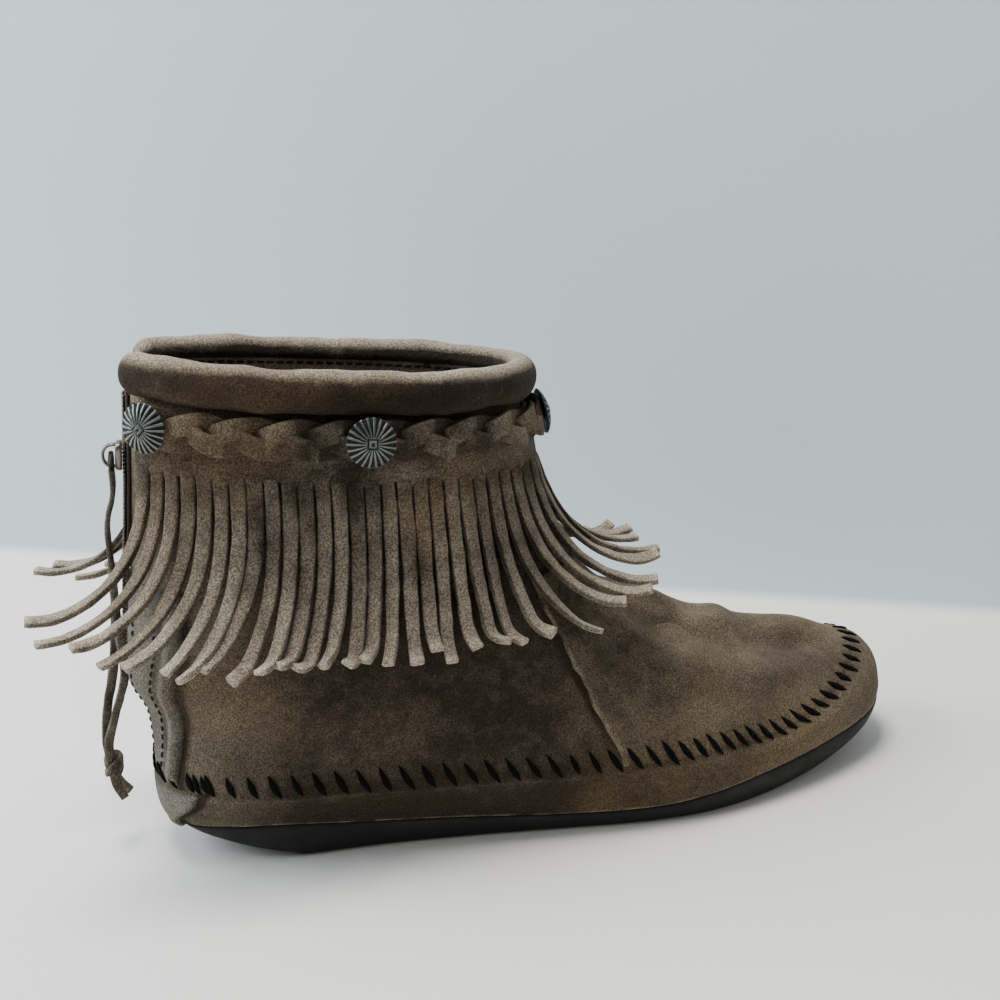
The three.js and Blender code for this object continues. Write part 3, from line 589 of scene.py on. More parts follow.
def suede(name, dark, light, warm, coarse=1.0, grain=0.4, patch=1.0, relief=0.0005, sheen=0.2):
    # nap colour from the shared group, plus the tone, with its painted shade, and the wear and painted
    # highlights put on the piece's own points
    material, n, shader = newMaterial(name)
    nap = n.node("Group")
    nap.node_tree = napGroup
    fill(nap, {"Dark": linear(*dark), "Light": linear(*light), "Warm": linear(*warm), "Coarse": coarse,
               "Grain": grain, "Patch": patch, "Tone": n.attribute("tone"), "WearAndHighlight": n.attribute("wearAndHighlight")})
    fill(shader, {"Base Color": nap.outputs["Color"], "Roughness": nap.outputs["Roughness"],
                  "Normal": n.bump(nap.outputs["Height"], relief), "Sheen Weight": sheen,
                  "Sheen Roughness": 0.55, "Sheen Tint": linear(*light), "Specular IOR Level": 0.15})
    return material


look = dict(
    upper=suede("suede", (44, 37, 29), (126, 114, 96), (102, 84, 61), 1.0, 0.7, 0.85),
    # painted light: the heel suede is a cooler, greyer copy of the upper's suede, standing in for the cool
    # light from the left on the heel
    heel=suede("heelLitSuede", (48, 43, 37), (116, 110, 101), (98, 86, 70), 1.0, 0.5, 0.7),
    fringe=suede("fringeSuede", (44, 37, 29), (164, 152, 134), (114, 96, 74), 0.95, 0.9, 0.4),
    roll=suede("rollSuede", (31, 25, 19), (160, 147, 128), (88, 70, 50), 1.0, 0.9, 0.55),
    lace=suede("laceSuede", (28, 24, 20), (128, 119, 106), (84, 72, 58), 1.0, 0.9, 0.3),
    lining=suede("liningSuede", (84, 75, 64), (150, 137, 120), (136, 116, 92), 1.3, 0.3, 0.5, 0.0002, 0.15))


def makeRubber():
    # black with a thin cloud of dust, and grey where the wear value is high
    material, n, shader = newMaterial("blackRubber")
    grain, dust = n.noise(900.0, 3.0, 0.6), n.noise(60.0, 4.0, 0.6)
    body = n.mix(n.span(dust, 0.45, 0.75, 0.0, 0.35), linear(8, 8, 9), linear(20, 19, 18))
    fill(shader, {"Base Color": n.mix(n.times(n.attribute("wearAndHighlight"), 0.5), body, linear(92, 88, 82)),
                  "Roughness": n.span(dust, 0.3, 0.7, 0.55, 0.8), "Normal": n.bump(grain, 0.00006),
                  "Specular IOR Level": 0.35})
    return material


def makeMetal(name, bright, dark, rough=0.34):
    # worn metal: bright where it is rubbed, near black where the tone value is low
    material, n, shader = newMaterial(name)
    fine, patch = n.noise(2200.0, 3.0, 0.6), n.noise(420.0, 4.0, 0.6)
    keep = n.add(n.attribute("tone"), n.swing(patch, 0.5), clamp=True)
    fill(shader, {"Base Color": n.mix(n.span(keep, 0.15, 0.75), linear(*dark), linear(*bright)),
                  "Metallic": n.span(keep, 0.1, 0.6, 0.35, 1.0), "Normal": n.bump(fine, 0.00003),
                  "Roughness": n.add(n.span(keep, 0.1, 0.8, rough + 0.3, rough), n.swing(fine, 0.2))})
    return material


def makeThread(name, colour, lightColour, gloss=0.3):
    # two near colours of fibre, mixed by a fine noise that also raises the surface
    material, n, shader = newMaterial(name)
    twist = n.noise(2600.0, 2.0, 0.5)
    fill(shader, {"Base Color": n.mix(n.span(twist, 0.35, 0.65), linear(*colour), linear(*lightColour)),
                  "Roughness": 0.85, "Specular IOR Level": gloss, "Normal": n.bump(twist, 0.0001)})
    return material


look.update(rubber=makeRubber(), pewter=makeMetal("pewter", (106, 110, 105), (3, 3, 3), 0.36),
            slider=makeMetal("sliderMetal", (120, 112, 100), (30, 27, 24)),
            blackLace=makeThread("blackLace", (3, 3, 3), (11, 10, 10), 0.08),
            thread=makeThread("seamThread", (20, 18, 16), (46, 41, 36), 0.15),
            tape=makeThread("zipTape", (44, 39, 34), (74, 66, 57)))


def dress(piece, material, slotName, *nodes):
    piece.data.materials.append(look[material])
    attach(piece, "root")
    if nodes:
        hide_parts(*nodes)
    return piece


print("materials done")


# Zip pull lace: two flat strands that cross under the slider's bridge and meet in one knot
sliderZ = sliderHigh * size["shaft"]
seat = shifted(0.0, levelAt(np.array(0.0), sliderZ), 5.6)
lace = dict(wide=3.0, thick=1.5, apart=1.9, apartAt=74, apartOver=17, knotRow=(10.8, 0.0, 102.5), knotWide=2.7)
laceRoute = np.array([
    [0.0, 0.0, 0.0], [0.0, 2.2, 0.3], [0.3, 3.2, 4.0], [0.8, 2.6, 12.0], [3.4, 2.0, 21.0],
    [3.6, 1.9, 35.0], [4.4, 1.9, 53.0], [5.4, 1.9, 70.0], [9.0, 1.9, 83.0], [11.4, 1.8, 93.0],
    [11.6, 1.7, 98.4]])
tailRoutes = np.array([
    [[10.8, -1.2, 103.0], [10.4, -2.2, 108.4], [8.2, -3.4, 113.5]],
    [[10.8, 1.2, 103.0], [10.0, 2.4, 109.4], [6.8, 3.8, 114.8]]])


def routePoint(row):
    # rows give how far behind the seat, how far to the side and how far below it
    row = np.asarray(row, float)
    return np.stack([seat[0] - row[..., 0], row[..., 1], sliderZ - row[..., 2]], -1)


def evenly(points, count):
    # the same line through a smooth curve, at evenly spaced places
    rows = np.arange(len(points), dtype=float)
    fine = curve(rows, np.asarray(points, float), np.linspace(0, rows[-1], 600))
    far = lengthAlong(fine)
    return pointsAt(np.linspace(0, far[-1], count), far, fine), far[-1]


def makeLace():
    # each strand follows its rows through the knot to its own cut end
    strands = []
    for mirror, label in ((-1, "outer"), (1, "inner")):
        rows = laceRoute * np.array([1, mirror, 1])
        rows[:, 0] += lace["apart"] * mirror * bell(rows[:, 2] - lace["apartAt"], lace["apartOver"])
        tail = tailRoutes[0 if mirror < 0 else 1]
        inKnot = np.array([[11.3, 0.9 * mirror, 100.6]])
        path, total = evenly(routePoint(np.concatenate([rows, inKnot, tail])), 64)
        # the strand lies flat on the zip, turned on edge only where it passes under the bridge
        share = np.linspace(0, 1, len(path))
        turn = smooth(share, 0.02, 0.08)[:, None]
        twist = (1.15 * smooth(share, 0.25, 0.5) + 0.2 * np.sin(9 * share + mirror))[:, None]
        flatWay = np.cos(twist) * np.array([0.0, 1.0, 0]) + np.sin(twist) * np.array([1.0, 0, 0])
        across = unit(skyward * (1 - turn) + flatWay * turn)
        wide = lace["wide"] * (1 + 0.06 * np.sin(23 * share))
        rings = roughened(ribbonRings(path, across, wide, lace["thick"], 12, 3.4), path, 0.09, 3.0, 5)
        tone = 0.5 + 0.25 * ripple(rings, 9, 11)
        piece = tubes("zip_lace_" + label, rings, tone, 0.0)
        dress(piece, "lace", "laceSuede")
        strands.append((piece, path * mm, total * mm))
    return strands


def makeKnot():
    # overhand knot: each strand goes once round the other, a flat band following a trefoil-like loop
    centre = routePoint(lace["knotRow"])
    turn = np.linspace(0, 2 * np.pi, 97)
    radius = 2.35 + 0.75 * np.cos(3 * turn)
    loop = np.stack([0.8 * radius * np.cos(2 * turn), radius * np.sin(2 * turn),
                     1.5 * np.sin(3 * turn) + 1.2 * np.sin(2 * turn + 0.4)], -1)
    path = centre + loop
    rings = ribbonRings(path, np.array([0.1, 0.25, 1.0]), lace["knotWide"], 1.6, 12, 3.0)
    rings = roughened(rings, path, 0.1, 3.0, 8)
    tone = 0.5 + 0.2 * ripple(rings, 6, 4)
    points = rings[:-1].reshape(-1, 3)
    quads = turnedOut(points, gridFaces(len(rings) - 1, rings.shape[1], True, True))
    piece = meshOf("zip_lace_knot", points, quads, None, tone[:-1], tone[:-1] * 0)
    return dress(piece, "lace", "laceSuede", "zip_pull_knot")


strands = makeLace()
knot = makeKnot()
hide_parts("zip_pull_lace")
print("lace done")


def weltColumn(level):
    # outer edge of the heel strips, wider towards the top
    return np.interp(level, [3.0, 3.6, 6.0, 10.0, 12.4], [0.100, 0.104, 0.126, 0.160, 0.166])


def tabColumn(level):
    # side edge of the heel tab: a smooth step outwards, with a slight waver
    return 0.084 + 0.062 * smooth(level, 0.4, 2.8) + 0.003 * np.sin(level * 4.1)


# Front panel over the quarter, heel strips and heel tab: separate leathers on the shell
# heelWide and panelWide are the millimetres of a whole turn there, levelHigh those of a level
overlay = dict(panelRise=1.2, stripRise=1.2, tabRise=1.3, edge=0.35, welt=1.5, heelWide=95, panelWide=190,
               levelHigh=6.0, panelTop=12.2, stripTop=12.4, parting=(8.3, 8.9), threadRows=(4.3, 9.6),
               threadPitch=3.1, threadTop=12.0)
# Upper: one hollow shell, smooth outside and inside, open at the collar and underneath
shell = dict(columns=400, levels=150, innerLevels=40)


def sharedTurns(count):
    # even steps of turn, drawn together a little at the heel and the toe where the form bends most
    u = np.linspace(0, 1, count // 2 + 1)
    half = u + 0.045 * np.sin(2 * np.pi * u) * -1
    return np.concatenate([half, -half[1:-1][::-1]])


def makeShell():
    # outer skin from sole to collar and back down inside, as one closed grid
    turn = sharedTurns(shell["columns"])
    outer = topLevel * np.linspace(0, 1, shell["levels"]) ** 1.12
    inner = np.linspace(topLevel, 0, shell["innerLevels"])
    t, l = np.meshgrid(turn, outer)
    front = onLeather(t, l, -0.8 * np.clip((l - topLevel + 0.12) / 0.12, 0, 1) ** 2)
    ti, li = np.meshgrid(turn, inner)
    back = shifted(ti, li, -size["wall"] + 0.25 * ripple(skin(ti, li), 30.0, 9))
    front[0, :, 2] = soleTop(front[0, :, 0]) + 0.3
    back[-1, :, 2] = soleTop(back[-1, :, 0]) + 0.3
    points = np.concatenate([front.reshape(-1, 3), back.reshape(-1, 3)])
    quads = turnedOut(points, gridFaces(shell["levels"] + shell["innerLevels"], len(turn), True, True))
    raw = bell(l, 0.13) * np.clip(1 + 0.9 * ripple(front, 7, 23), 0.1, 2)
    side = (np.abs(t) - panelColumn) * overlay["panelWide"]
    shade = bell(np.minimum(side, 0), 0.7) * (side < 1) * (l < overlay["stripTop"]) * (l > stitchLevel)
    seam = bell(l - stitchLevel, 0.35)
    byHeel = np.where(l > stitchLevel, weltColumn(l), tabColumn(l))
    byHeel = (np.abs(t) - byHeel - 0.004) * overlay["heelWide"]
    shade = shade + 1.4 * bell(byHeel, 0.9) * (l < overlay["stripTop"])
    # painted light and shade: greyer and lighter at the heel where the cool light from the left falls and over
    # the vamp that faces up, darkest in the quarter shaded under the fringe
    places = [-135, -112, -88, -40, 10, 45, 130]
    tone = np.interp(front[..., 0], places, [0.62, 0.50, 0.16, 0.05, 0.10, 0.28, 0.44])
    # painted shade along the laced seam and beside the raised edges of the front panel, heel strips and heel
    # tab
    tone = tone + 0.14 * ripple(front, 60, 21) - 0.15 * seam - 0.5 * shade
    # painted shade: darker on the low part of the upper below the seam, behind the vamp, where it faces down
    tone = tone - 0.10 * (l < 2.6) * (front[..., 0] < 60)
    wearAndHighlight = 1.3 * raw + 0.15 * bell(l - stitchLevel + 0.45, 0.3)
    tone, wearAndHighlight = (np.append(v, np.full(ti.size, inside)) for v, inside in ((tone, 0.62), (wearAndHighlight, 0.0)))
    return dress(meshOf("upper_leather", points, quads, None, tone, wearAndHighlight), "upper", "suede", "upper")


makeShell()
print("upper done")


def edgeRounding(distance, thick, reach):
    # a raw cut edge: full height inside, falling in a quarter round over the last part
    share = np.clip(distance / reach, 0, 1)
    return thick * np.sqrt(np.maximum(1 - (1 - share) ** 2, 0))


def panelLift(level):
    # the panel comes down flush to the laced seam
    return overlay["panelRise"] * smooth(level, stitchLevel + 0.05, stitchLevel + 1.1)


def makePanel():
    # from one raw edge round the front to the other, in even turns
    half = np.concatenate([panelColumn + 0.004 * np.array([0, .03, .1, .25, .5, 1.0]),
                           np.linspace(panelColumn + 0.008, 1, 150)])
    turn = np.concatenate([half, 2 - half[:-1][::-1]])
    share = np.concatenate([[0, .0006, .002, .005], np.linspace(0.01, 1, 110)])
    level = stitchLevel + 0.06 + (overlay["panelTop"] - stitchLevel) * share
    t, l = np.meshgrid(turn, level)
    wave = 0.0012 * np.sin(l * 2.1) + 0.0006 * np.sin(l * 5.3 + 1)
    side = np.where(t < 1, 1, -1)
    t = t + side * wave * (1 - smooth(np.minimum(t - panelColumn, 2 - panelColumn - t), 0, 0.05))
    fromSide = np.minimum(t - panelColumn - wave, 2 - panelColumn - wave - t) * overlay["panelWide"]
    fromFoot = (l - stitchLevel - 0.06) * overlay["levelHigh"]
    rise = edgeRounding(fromSide + 0.02, 1, overlay["edge"]) * panelLift(l) + 0.12 * smooth(fromFoot, 0, 0.2)
    wrap = wrapped(t)
    p = skin(wrap, l)
    # painted light and shade: lighter towards the toe where the vamp faces up into the light, darker at the
    # panel's foot down in the seam
    tone = 0.34 + 0.20 * ripple(p, 38, 22) + 0.16 * smooth(p[..., 0], 20, 100) - 0.12 * bell(fromFoot, 1.2)
    wearAndHighlight = 0.9 * bell(fromSide, 0.7) * np.clip(1 + 0.8 * ripple(p, 6, 25), 0.1, 2)
    return dress(slab("front_panel", wrap, l, rise, -0.4, tone, wearAndHighlight), "upper", "suede")


def stripInner(level):
    # the strips stand apart beside the zip and close over the middle of the heel below it
    closed = 1 - smooth(level, *overlay["parting"])
    return (grooveColumn - 0.004) * (1 - closed) + 0.002 * closed


def stripFoot(level):
    # the strips thin out to a quarter where they reach the laced seam
    return 0.25 + 0.75 * smooth(level, stitchLevel + 0.1, stitchLevel + 0.5)


def makeHeelStrip(mirror, label):
    # one strip from beside the zip to its welt, u running across it
    u = np.concatenate([0.03 * np.array([0, .2, .5, 1]), np.linspace(0.05, 0.80, 14),
                        np.linspace(0.82, 0.985, 14), [0.99, 0.995, 1.0]])
    level = stitchLevel + 0.1 + (overlay["stripTop"] - stitchLevel) * np.linspace(0, 1, 160)
    u, l = np.meshgrid(u, level)
    inner, outerEdge = stripInner(l), weltColumn(l)
    t = inner + u * (outerEdge - inner)
    edge = np.minimum(t - inner, outerEdge - t) * overlay["heelWide"]
    # along its outer edge the strip is folded over into a round welt
    fromEdge = (outerEdge - t) * overlay["heelWide"]
    rise = edgeRounding(edge + 0.03, overlay["stripRise"], 0.7)
    rise = rise + overlay["welt"] * bell(fromEdge - 1.5, 0.95)
    groove = bell(fromEdge - 3.4, 0.45)
    rise = (rise - 0.4 * groove) * stripFoot(l)
    p = skin(t * mirror, l)
    # painted shade in the groove inside the welt and along the strip's outer edge
    tone = 0.66 + 0.15 * ripple(p, 30, 24) - 0.5 * groove - 0.5 * bell(fromEdge, 0.6)
    wearAndHighlight = 0.2 * bell(fromEdge - 1.5, 0.8)
    return dress(slab("heel_strip_" + label, t * mirror, l, rise, -0.4, tone, wearAndHighlight), "heel", "suede")


def makeHeelTab():
    # the lower leather laps round the heel under the seam, its edges slanting in to the sole
    edges = np.array([0.96, 0.985, 0.995, 1])
    u, level = np.meshgrid(np.concatenate([-edges[::-1], np.linspace(-.93, .93, 50), edges]),
                           np.linspace(0.12, stitchLevel - 0.2, 40))
    reach = tabColumn(level)
    t, fromEdge = u * reach, (1 - np.abs(u)) * reach * overlay["heelWide"]
    rise = edgeRounding(fromEdge + 0.03, overlay["tabRise"], 0.8) + 0.7 * bell(fromEdge - 1.5, 1)
    rise = rise * smooth(stitchLevel - 0.2 - level, 0, 0.2)
    # painted shade along the tab's raised side edges
    tone = 0.62 + 0.15 * ripple(skin(t, level), 26, 26) - 0.5 * bell(fromEdge, 0.5)
    wearAndHighlight = 0.5 * bell(fromEdge - 1.2, 0.8)
    return dress(slab("heel_tab", t, level, rise, -0.4, tone, wearAndHighlight), "heel", "suede")


def threadRow(spots, normals, ahead, long, wide):
    # short sunk stitches: a small bead drawn out along the row, its ends under the surface
    s = np.linspace(-1, 1, 7)[None, :, None]
    path = spots[:, None] + ahead[:, None] * (s * long / 2) + normals[:, None] * (0.2 - 0.45 * s ** 4)
    width = wide * (1 - 0.35 * s[..., 0] ** 4)
    return ribbonRings(path, np.cross(ahead, normals)[:, None], width, wide * 0.7, 8, 2.2)


def makeHeelThreads():
    # two rows of stitches on each strip, at set distances in from the welt
    rows = []
    for mirror in (-1, 1):
        for back in overlay["threadRows"]:
            level = np.linspace(stitchLevel + 0.6, overlay["threadTop"], 900)
            column = np.maximum(weltColumn(level) - back / overlay["heelWide"], stripInner(level) + 0.016)
            line = onLeather(column * mirror, level, overlay["stripRise"])
            far = lengthAlong(line)
            marks = np.arange(1.0, far[-1] - 1, overlay["threadPitch"])
            at, c = np.interp(marks, far, level), np.interp(marks, far, column) * mirror
            spot = onLeather(c, at, overlay["stripRise"])
            ahead = unit(pointsAt(marks + 0.3, far, line) - pointsAt(marks - 0.3, far, line))
            rows.append(threadRow(spot, outward(c, at), ahead, 1.7, 0.8))
    return dress(tubes("heel_threads", np.concatenate(rows), 0.5, 0.0), "thread", "suede")


makePanel()
makeHeelStrip(-1, "outer")
makeHeelStrip(1, "inner")
makeHeelTab()
makeHeelThreads()
print("panels done")


# Sole: black rubber, bevelled at the heel, with a moulded tread underneath
sole = dict(columns=240, across=29, tread=0.8, treadPitch=7.0, insoleThick=1.85)


def soleRing(inset, high):
    # outline of the sole drawn in by an inset, at a height given as a function of x
    column = np.arange(sole["columns"]) * 2 / sole["columns"]
    side = np.where(column > 1, 1.0, -1.0)
    share = shareOf(np.where(column > 1, 2 - column, column))
    x = soleBack + inset + (soleLong - 2 * inset) * share
    half = soleHalf(share, side)
    y = axisY(x) + side * np.maximum(half - inset, half * 0.2)
    return np.stack([x, y, high(x)], -1)


def capGrid(ring, dent=None):
    # ring point j is joined to its mirror point, in even steps across
    half = len(ring) // 2
    j = np.arange(half + 1)
    t = np.linspace(0, 1, sole["across"])[None, :, None]
    grid = ring[j][:, None] * (1 - t) + ring[(len(ring) - j) % len(ring)][:, None] * t
    if dent is not None:
        inside = np.minimum(smooth(t[..., 0], 0.02, 0.12), smooth(1 - t[..., 0], 0.02, 0.12))
        grid[..., 2] += dent(grid) * inside * smooth(np.sin(np.pi * j / half), 0.02, 0.15)[:, None]
    return grid


def ringSolid(name, rings, topDent=None, underDent=None, wearAndHighlight=None):
    # rings from the underside up, closed by a grid across at each end
    stack = np.stack(rings)
    under, top = capGrid(stack[0], underDent), capGrid(stack[-1], topDent)
    first = stack.shape[0] * stack.shape[1]
    points = np.concatenate([stack.reshape(-1, 3), under.reshape(-1, 3), top.reshape(-1, 3)])
    rows = under.shape[0]
    quads = np.concatenate([gridFaces(stack.shape[0], stack.shape[1], False, True),
                            gridFaces(rows, sole["across"], start=first),
                            gridFaces(rows, sole["across"], start=first + rows * sole["across"])])
    wearAndHighlight = np.zeros(len(points)) if wearAndHighlight is None else wearAndHighlight(points)
    return meshOf(name, points, quads, None, np.full(len(points), 0.5), wearAndHighlight, merge=True)


def makeSole():
    # the side swells out from the underside to its widest line and comes in a little to the top edge
    profile = [(3.2, 0.0), (2.6, 0.01), (2.1, 0.04), (1.6, 0.11), (1.15, 0.22), (0.8, 0.36), (0.5, 0.5),
               (0.28, 0.62), (0.1, 0.74), (0.0, 0.84), (0.02, 0.9), (0.16, 0.95), (0.45, 0.985), (0.9, 1.0)]
    rings = [soleRing(inset, lambda x, up=up: soleUnder(x) * (1 - up) + soleTop(x) * up)
             for inset, up in profile]

    def tread(grid):
        # wavy grooves across the sole, left out under the arch
        x, y = grid[..., 0], grid[..., 1]
        wave = np.cos(2 * np.pi * (x + 2.2 * np.cos(y / 5.5)) / sole["treadPitch"])
        return smooth(wave, -0.2, 0.25) * sole["tread"] * smooth(np.abs(x + 20), 18, 26)

    def rubbed(points):
        return 0.35 * np.clip((soleUnder(points[:, 0]) + 1.2 - points[:, 2]) / 1.2, 0, 1)

    return dress(ringSolid("sole", rings, None, tread, rubbed), "rubber", "blackRubber", "outsole")


def makeInsole():
    # a board on the sole with rounded edges, dished a little on top
    margin = size["wall"] + 2.2
    rings = [soleRing(margin + inset, lambda x, up=up: soleTop(x) + up)
             for inset, up in ((0.3, 0.3), (0, 0.6), (0, 1.4), (0.4, sole["insoleThick"]))]
    return dress(ringSolid("sock_lining", rings, lambda grid: -0.35), "lining", "insoleLeather", "insole")


makeSole()
makeInsole()
print("sole done")


# Padded collar roll, uneven by hand, with rounded ends at the zip
roll = dict(high=13.4, deep=10.4, shift=0.8, gapInner=0.075, gapOuter=0.045, steps=300, around=32,
            uneven=0.45, threadPitch=3.2)


def rollFrame():
    # middle line of the roll on the top edge, with its level and upright directions
    run = shaftRun(0, 0, roll["gapInner"], 2 - roll["gapOuter"], roll["steps"])
    flat = unit(np.stack([run["ahead"][:, 1], -run["ahead"][:, 0], np.zeros(roll["steps"])], 1))
    flat = facing(flat, run["out"])
    up = facing(unit(np.cross(run["ahead"], flat)), skyward)
    centre = run["point"] + flat * roll["shift"] + up * (roll["high"] / 2 * math.cos(math.pi / 8) - 1.1)
    return run, centre, flat, up


def makeRoll():
    # an oval section along that line, closed in round at both ends
    run, centre, flat, up = rollFrame()
    angle = circle(roll["around"])
    near = np.minimum(run["far"], run["total"] - run["far"])
    close = np.sqrt(np.clip(1 - (1 - np.clip(near / 4.5, 0, 1)) ** 2, 0.004, 1))[:, None]
    c, s = np.cos(angle)[None], np.sin(angle)[None]
    # fuller above and outside, drawn in underneath where it is stitched to the shaft
    tuck = 1 - 0.10 * bell(angle - 1.5 * np.pi + 0.15, 0.35) - 0.26 * smooth(-c, 0.1, 0.6) * (s < 0.05)
    rings = (centre[:, None] + flat[:, None] * (roll["deep"] / 2 * c * close * tuck)[..., None]
             + up[:, None] * (roll["high"] / 2 * s * close * tuck)[..., None])
    push = unit(rings - centre[:, None])
    bumps = roll["uneven"] * ripple(rings, 30, 31) + 0.16 * ripple(rings, 11, 32)
    rings = rings + push * (bumps * close - 0.15)[..., None]
    # painted shade darkens the underside of the roll, and a painted highlight lightens its upward faces
    tone = -0.10 + 0.12 * ripple(rings, 40, 33) - 0.35 * bell(angle - 1.5 * np.pi, 0.5)[None]
    wearAndHighlight = 1.6 * smooth(push[..., 2], 0.55, 1.0)
    piece = tubes("collar_roll_suede", rings, tone, wearAndHighlight)
    dress(piece, "roll", "rollSuede", "collar_roll")
    return piece


def makeFacing():
    # lining turned up inside the collar to the underside of the roll, with a stitched line under its edge
    run, centre, flat, up = rollFrame()
    part = slice(6, roll["steps"] - 6)
    centre, flat, up = centre[part], flat[part], up[part]
    back = -roll["deep"] / 2 * 0.82
    shape = np.array([[0.2, 0.0], [-1.5, 0.25], [-3.5, 0.1], [-6.0, 0.0], [-12.0, -0.9], [-18.0, -1.2],
                      [-18.0, 0.3], [-12.0, 0.9], [-6.0, 2.2], [-3.5, 2.6], [-1.5, 2.6], [0.2, 2.0]])
    rings = centre[:, None] + flat[:, None] * (back + shape[None, :, 1:]) + up[:, None] * shape[None, :, :1]
    # painted shade: darker along the top, just under the roll
    tone = 0.45 + 0.15 * ripple(rings, 22, 36) - 0.5 * bell(shape[None, :, 0] - 0.2, 0.7)
    dress(tubes("collar_facing", rings, tone, 0.0), "lining", "rollSuede")
    line = centre + flat * (back - 0.1) + up * -1.0
    far = lengthAlong(line)
    marks = np.arange(1.5, far[-1] - 1.5, roll["threadPitch"])
    spot, inward = (pointsAt(marks, far, v) for v in (line, -flat))
    rings = threadRow(spot, unit(inward), unit(np.gradient(spot, axis=0)), 2.0, 1.0)
    return dress(tubes("collar_threads", rings, 0.5, 0.0), "thread", "rollSuede")


makeRoll()
makeFacing()
print("roll done")


# Band with the cut fringe: every strip hangs from the band and bends towards its own tip
fringe = dict(wide=4.62, thick=2.1, pitch=4.75, length=66.0, steps=44, around=12, bandFoot=22.4, root=20.2)
fringeTable = np.array([
    [0, 98, -90, .98, 1], [.12, 95, -76, 1.01, 1], [.2, 78, -58, .97, 1.1], [.3, 62, -46, .93, 1.2],
    [.4, 50, -30, .87, 1.4], [.46, 48, 0, .85, 1.6], [.52, 64, 40, .86, 1.4], [.62, 84, 58, .93, 1.2],
    [.74, 94, 70, .96, 1.1], [.88, 97, 80, .93, 1], [1, 98, 90, .9, 1]])


def makeBand():
    # a flat section with rounded edges, from behind its face to the front, carried round the shaft
    count = 360
    foot = fringe["bandFoot"]
    drops = np.concatenate([[braidDrop - 4.6], np.linspace(braidDrop - 4.2, foot - 0.4, 14), [foot]])
    runs = [shaftRun(d, bandOut - 0.15, backGap, 2 - backGap, count) for d in drops]
    back = np.stack([r["point"] for r in runs], 1)
    out = np.stack([r["out"] for r in runs], 1)
    # the slits start at uneven heights, so the foot of the band wavers
    low = smooth(drops, foot - 5, foot)
    back[..., 2] -= low[None] * (0.5 + 1.1 * ripple(back[:, -1], 5, 43))[:, None]
    full = np.full(len(drops), bandThick)
    full[0], full[-1] = bandThick * 0.7, bandThick * 0.7
    face = back + out * (full[None, :, None] + 0.25 * ripple(back, 18, 41)[..., None])
    rings = np.concatenate([back, face[:, ::-1]], 1)
    tone = 0.06 + 0.10 * ripple(rings, 30, 42)
    return dress(tubes("fringe_band", rings, tone, 0.0), "fringe", "fringeSuede")


def stripLines():
    # the same bend, heading and length rule as the solids, at finer steps
    lowDrop = braidDrop + bandBelow - 1
    total = shaftRun(lowDrop, 0, backGap, 2 - backGap, 2)["total"]
    count = round(total / fringe["pitch"])
    run = shaftRun(lowDrop, bandOut + bandThick / 2, backGap + 0.02, 2 - backGap - 0.02, count)
    i = np.arange(count)
    place = np.abs(run["turn"])
    bend, heading, reach, ease = curve(fringeTable[:, 0], fringeTable[:, 1:], place).T
    jitter = np.sin(i * 2.4) * 0.6 + np.sin(i * 5.3 + 1) * 0.4
    lean = np.arcsin(np.clip(run["out"][:, 2], 0, 0.5)) + 0.06
    bend, heading = np.radians(bend + 5 * jitter), np.radians(heading + 5 * np.cos(i * 1.7))
    length = fringe["length"] * (reach + 0.03 * np.cos(i * 3.7))
    side = np.where(run["turn"] < 0, -1.0, 1.0)
    way = np.stack([np.sin(heading), side * np.cos(heading), np.zeros(count)], 1)
    flat = unit(run["out"] * np.array([1, 1, 0]))
    square = np.stack([-way[:, 1], way[:, 0], np.zeros(count)], 1)
    square = facing(square, run["ahead"])
    steps = fringe["steps"]
    share = (np.arange(steps) + 0.5) / steps
    curl = rng.normal(0, 1, count)
    # strips in the middle of each side hang straight and turn up only at the tip
    hangs = bell(place - 0.46, 0.13)
    bend = bend * (1 - 0.72 * hangs)
    angle = lean[:, None] + (bend - lean)[:, None] * share[None] ** (ease + 0.45)[:, None]
    tipTurn = np.radians(np.where(hangs > 0.25, 62 + 20 * curl, 14 * np.abs(curl)))
    angle = angle + tipTurn[:, None] * smooth(share, 0.82, 0.98)[None]
    stray = np.radians(1.6) * (rng.normal(0, 1, count) ** 3).clip(-5, 5)
    sideways = stray[:, None] * smooth(share, 0.35, 1.0)
    mixShare = np.minimum(1.6 * share, 1)[None, :, None]
    going = unit(flat[:, None] * (1 - mixShare) + way[:, None] * mixShare)
    going = unit(going + square[:, None] * np.tan(sideways)[..., None])
    step = going * np.sin(angle)[..., None] - skyward * np.cos(angle)[..., None]
    step = (length / steps)[:, None, None] * step
    start = run["point"][:, None]
    # the root runs up the wall to the slit's upper end behind the plait
    top = [shaftRun(d, bandOut + bandThick / 2, backGap + 0.02, 2 - backGap - 0.02, count)["point"]
           for d in np.linspace(fringe["root"], lowDrop, 5)[:-1]]
    path = np.concatenate([np.stack(top, 1), start, start + np.cumsum(step, 1)], 1)
    inStrip = np.concatenate([np.zeros(5), share])
    blend = np.minimum(1.4 * inStrip, 1)[None, :, None]
    across = unit(run["ahead"][:, None] * (1 - blend) + square[:, None] * blend)
    roll = 0.35 * curl[:, None] * smooth(inStrip, 0.5, 1.0)[None]
    across = unit(across + skyward * np.tan(roll)[..., None])
    # the strips that sweep to the back or the front keep their broad face turned outwards
    sweep = 0.8 * bell(place - 0.22, 0.13) + 0.7 * bell(place - 0.72, 0.12)
    ahead = unit(np.gradient(path, axis=1))
    natural = facing(unit(np.cross(ahead, across)), run["out"][:, None])
    share = (sweep[:, None] * (1 - smooth(np.abs(np.sum(ahead * flat[:, None], -1)), 0.35, 0.75)))[..., None]
    broad = unit(natural * (1 - share) + flat[:, None] * share)
    return path, facing(unit(np.cross(broad, ahead)), across), inStrip, count


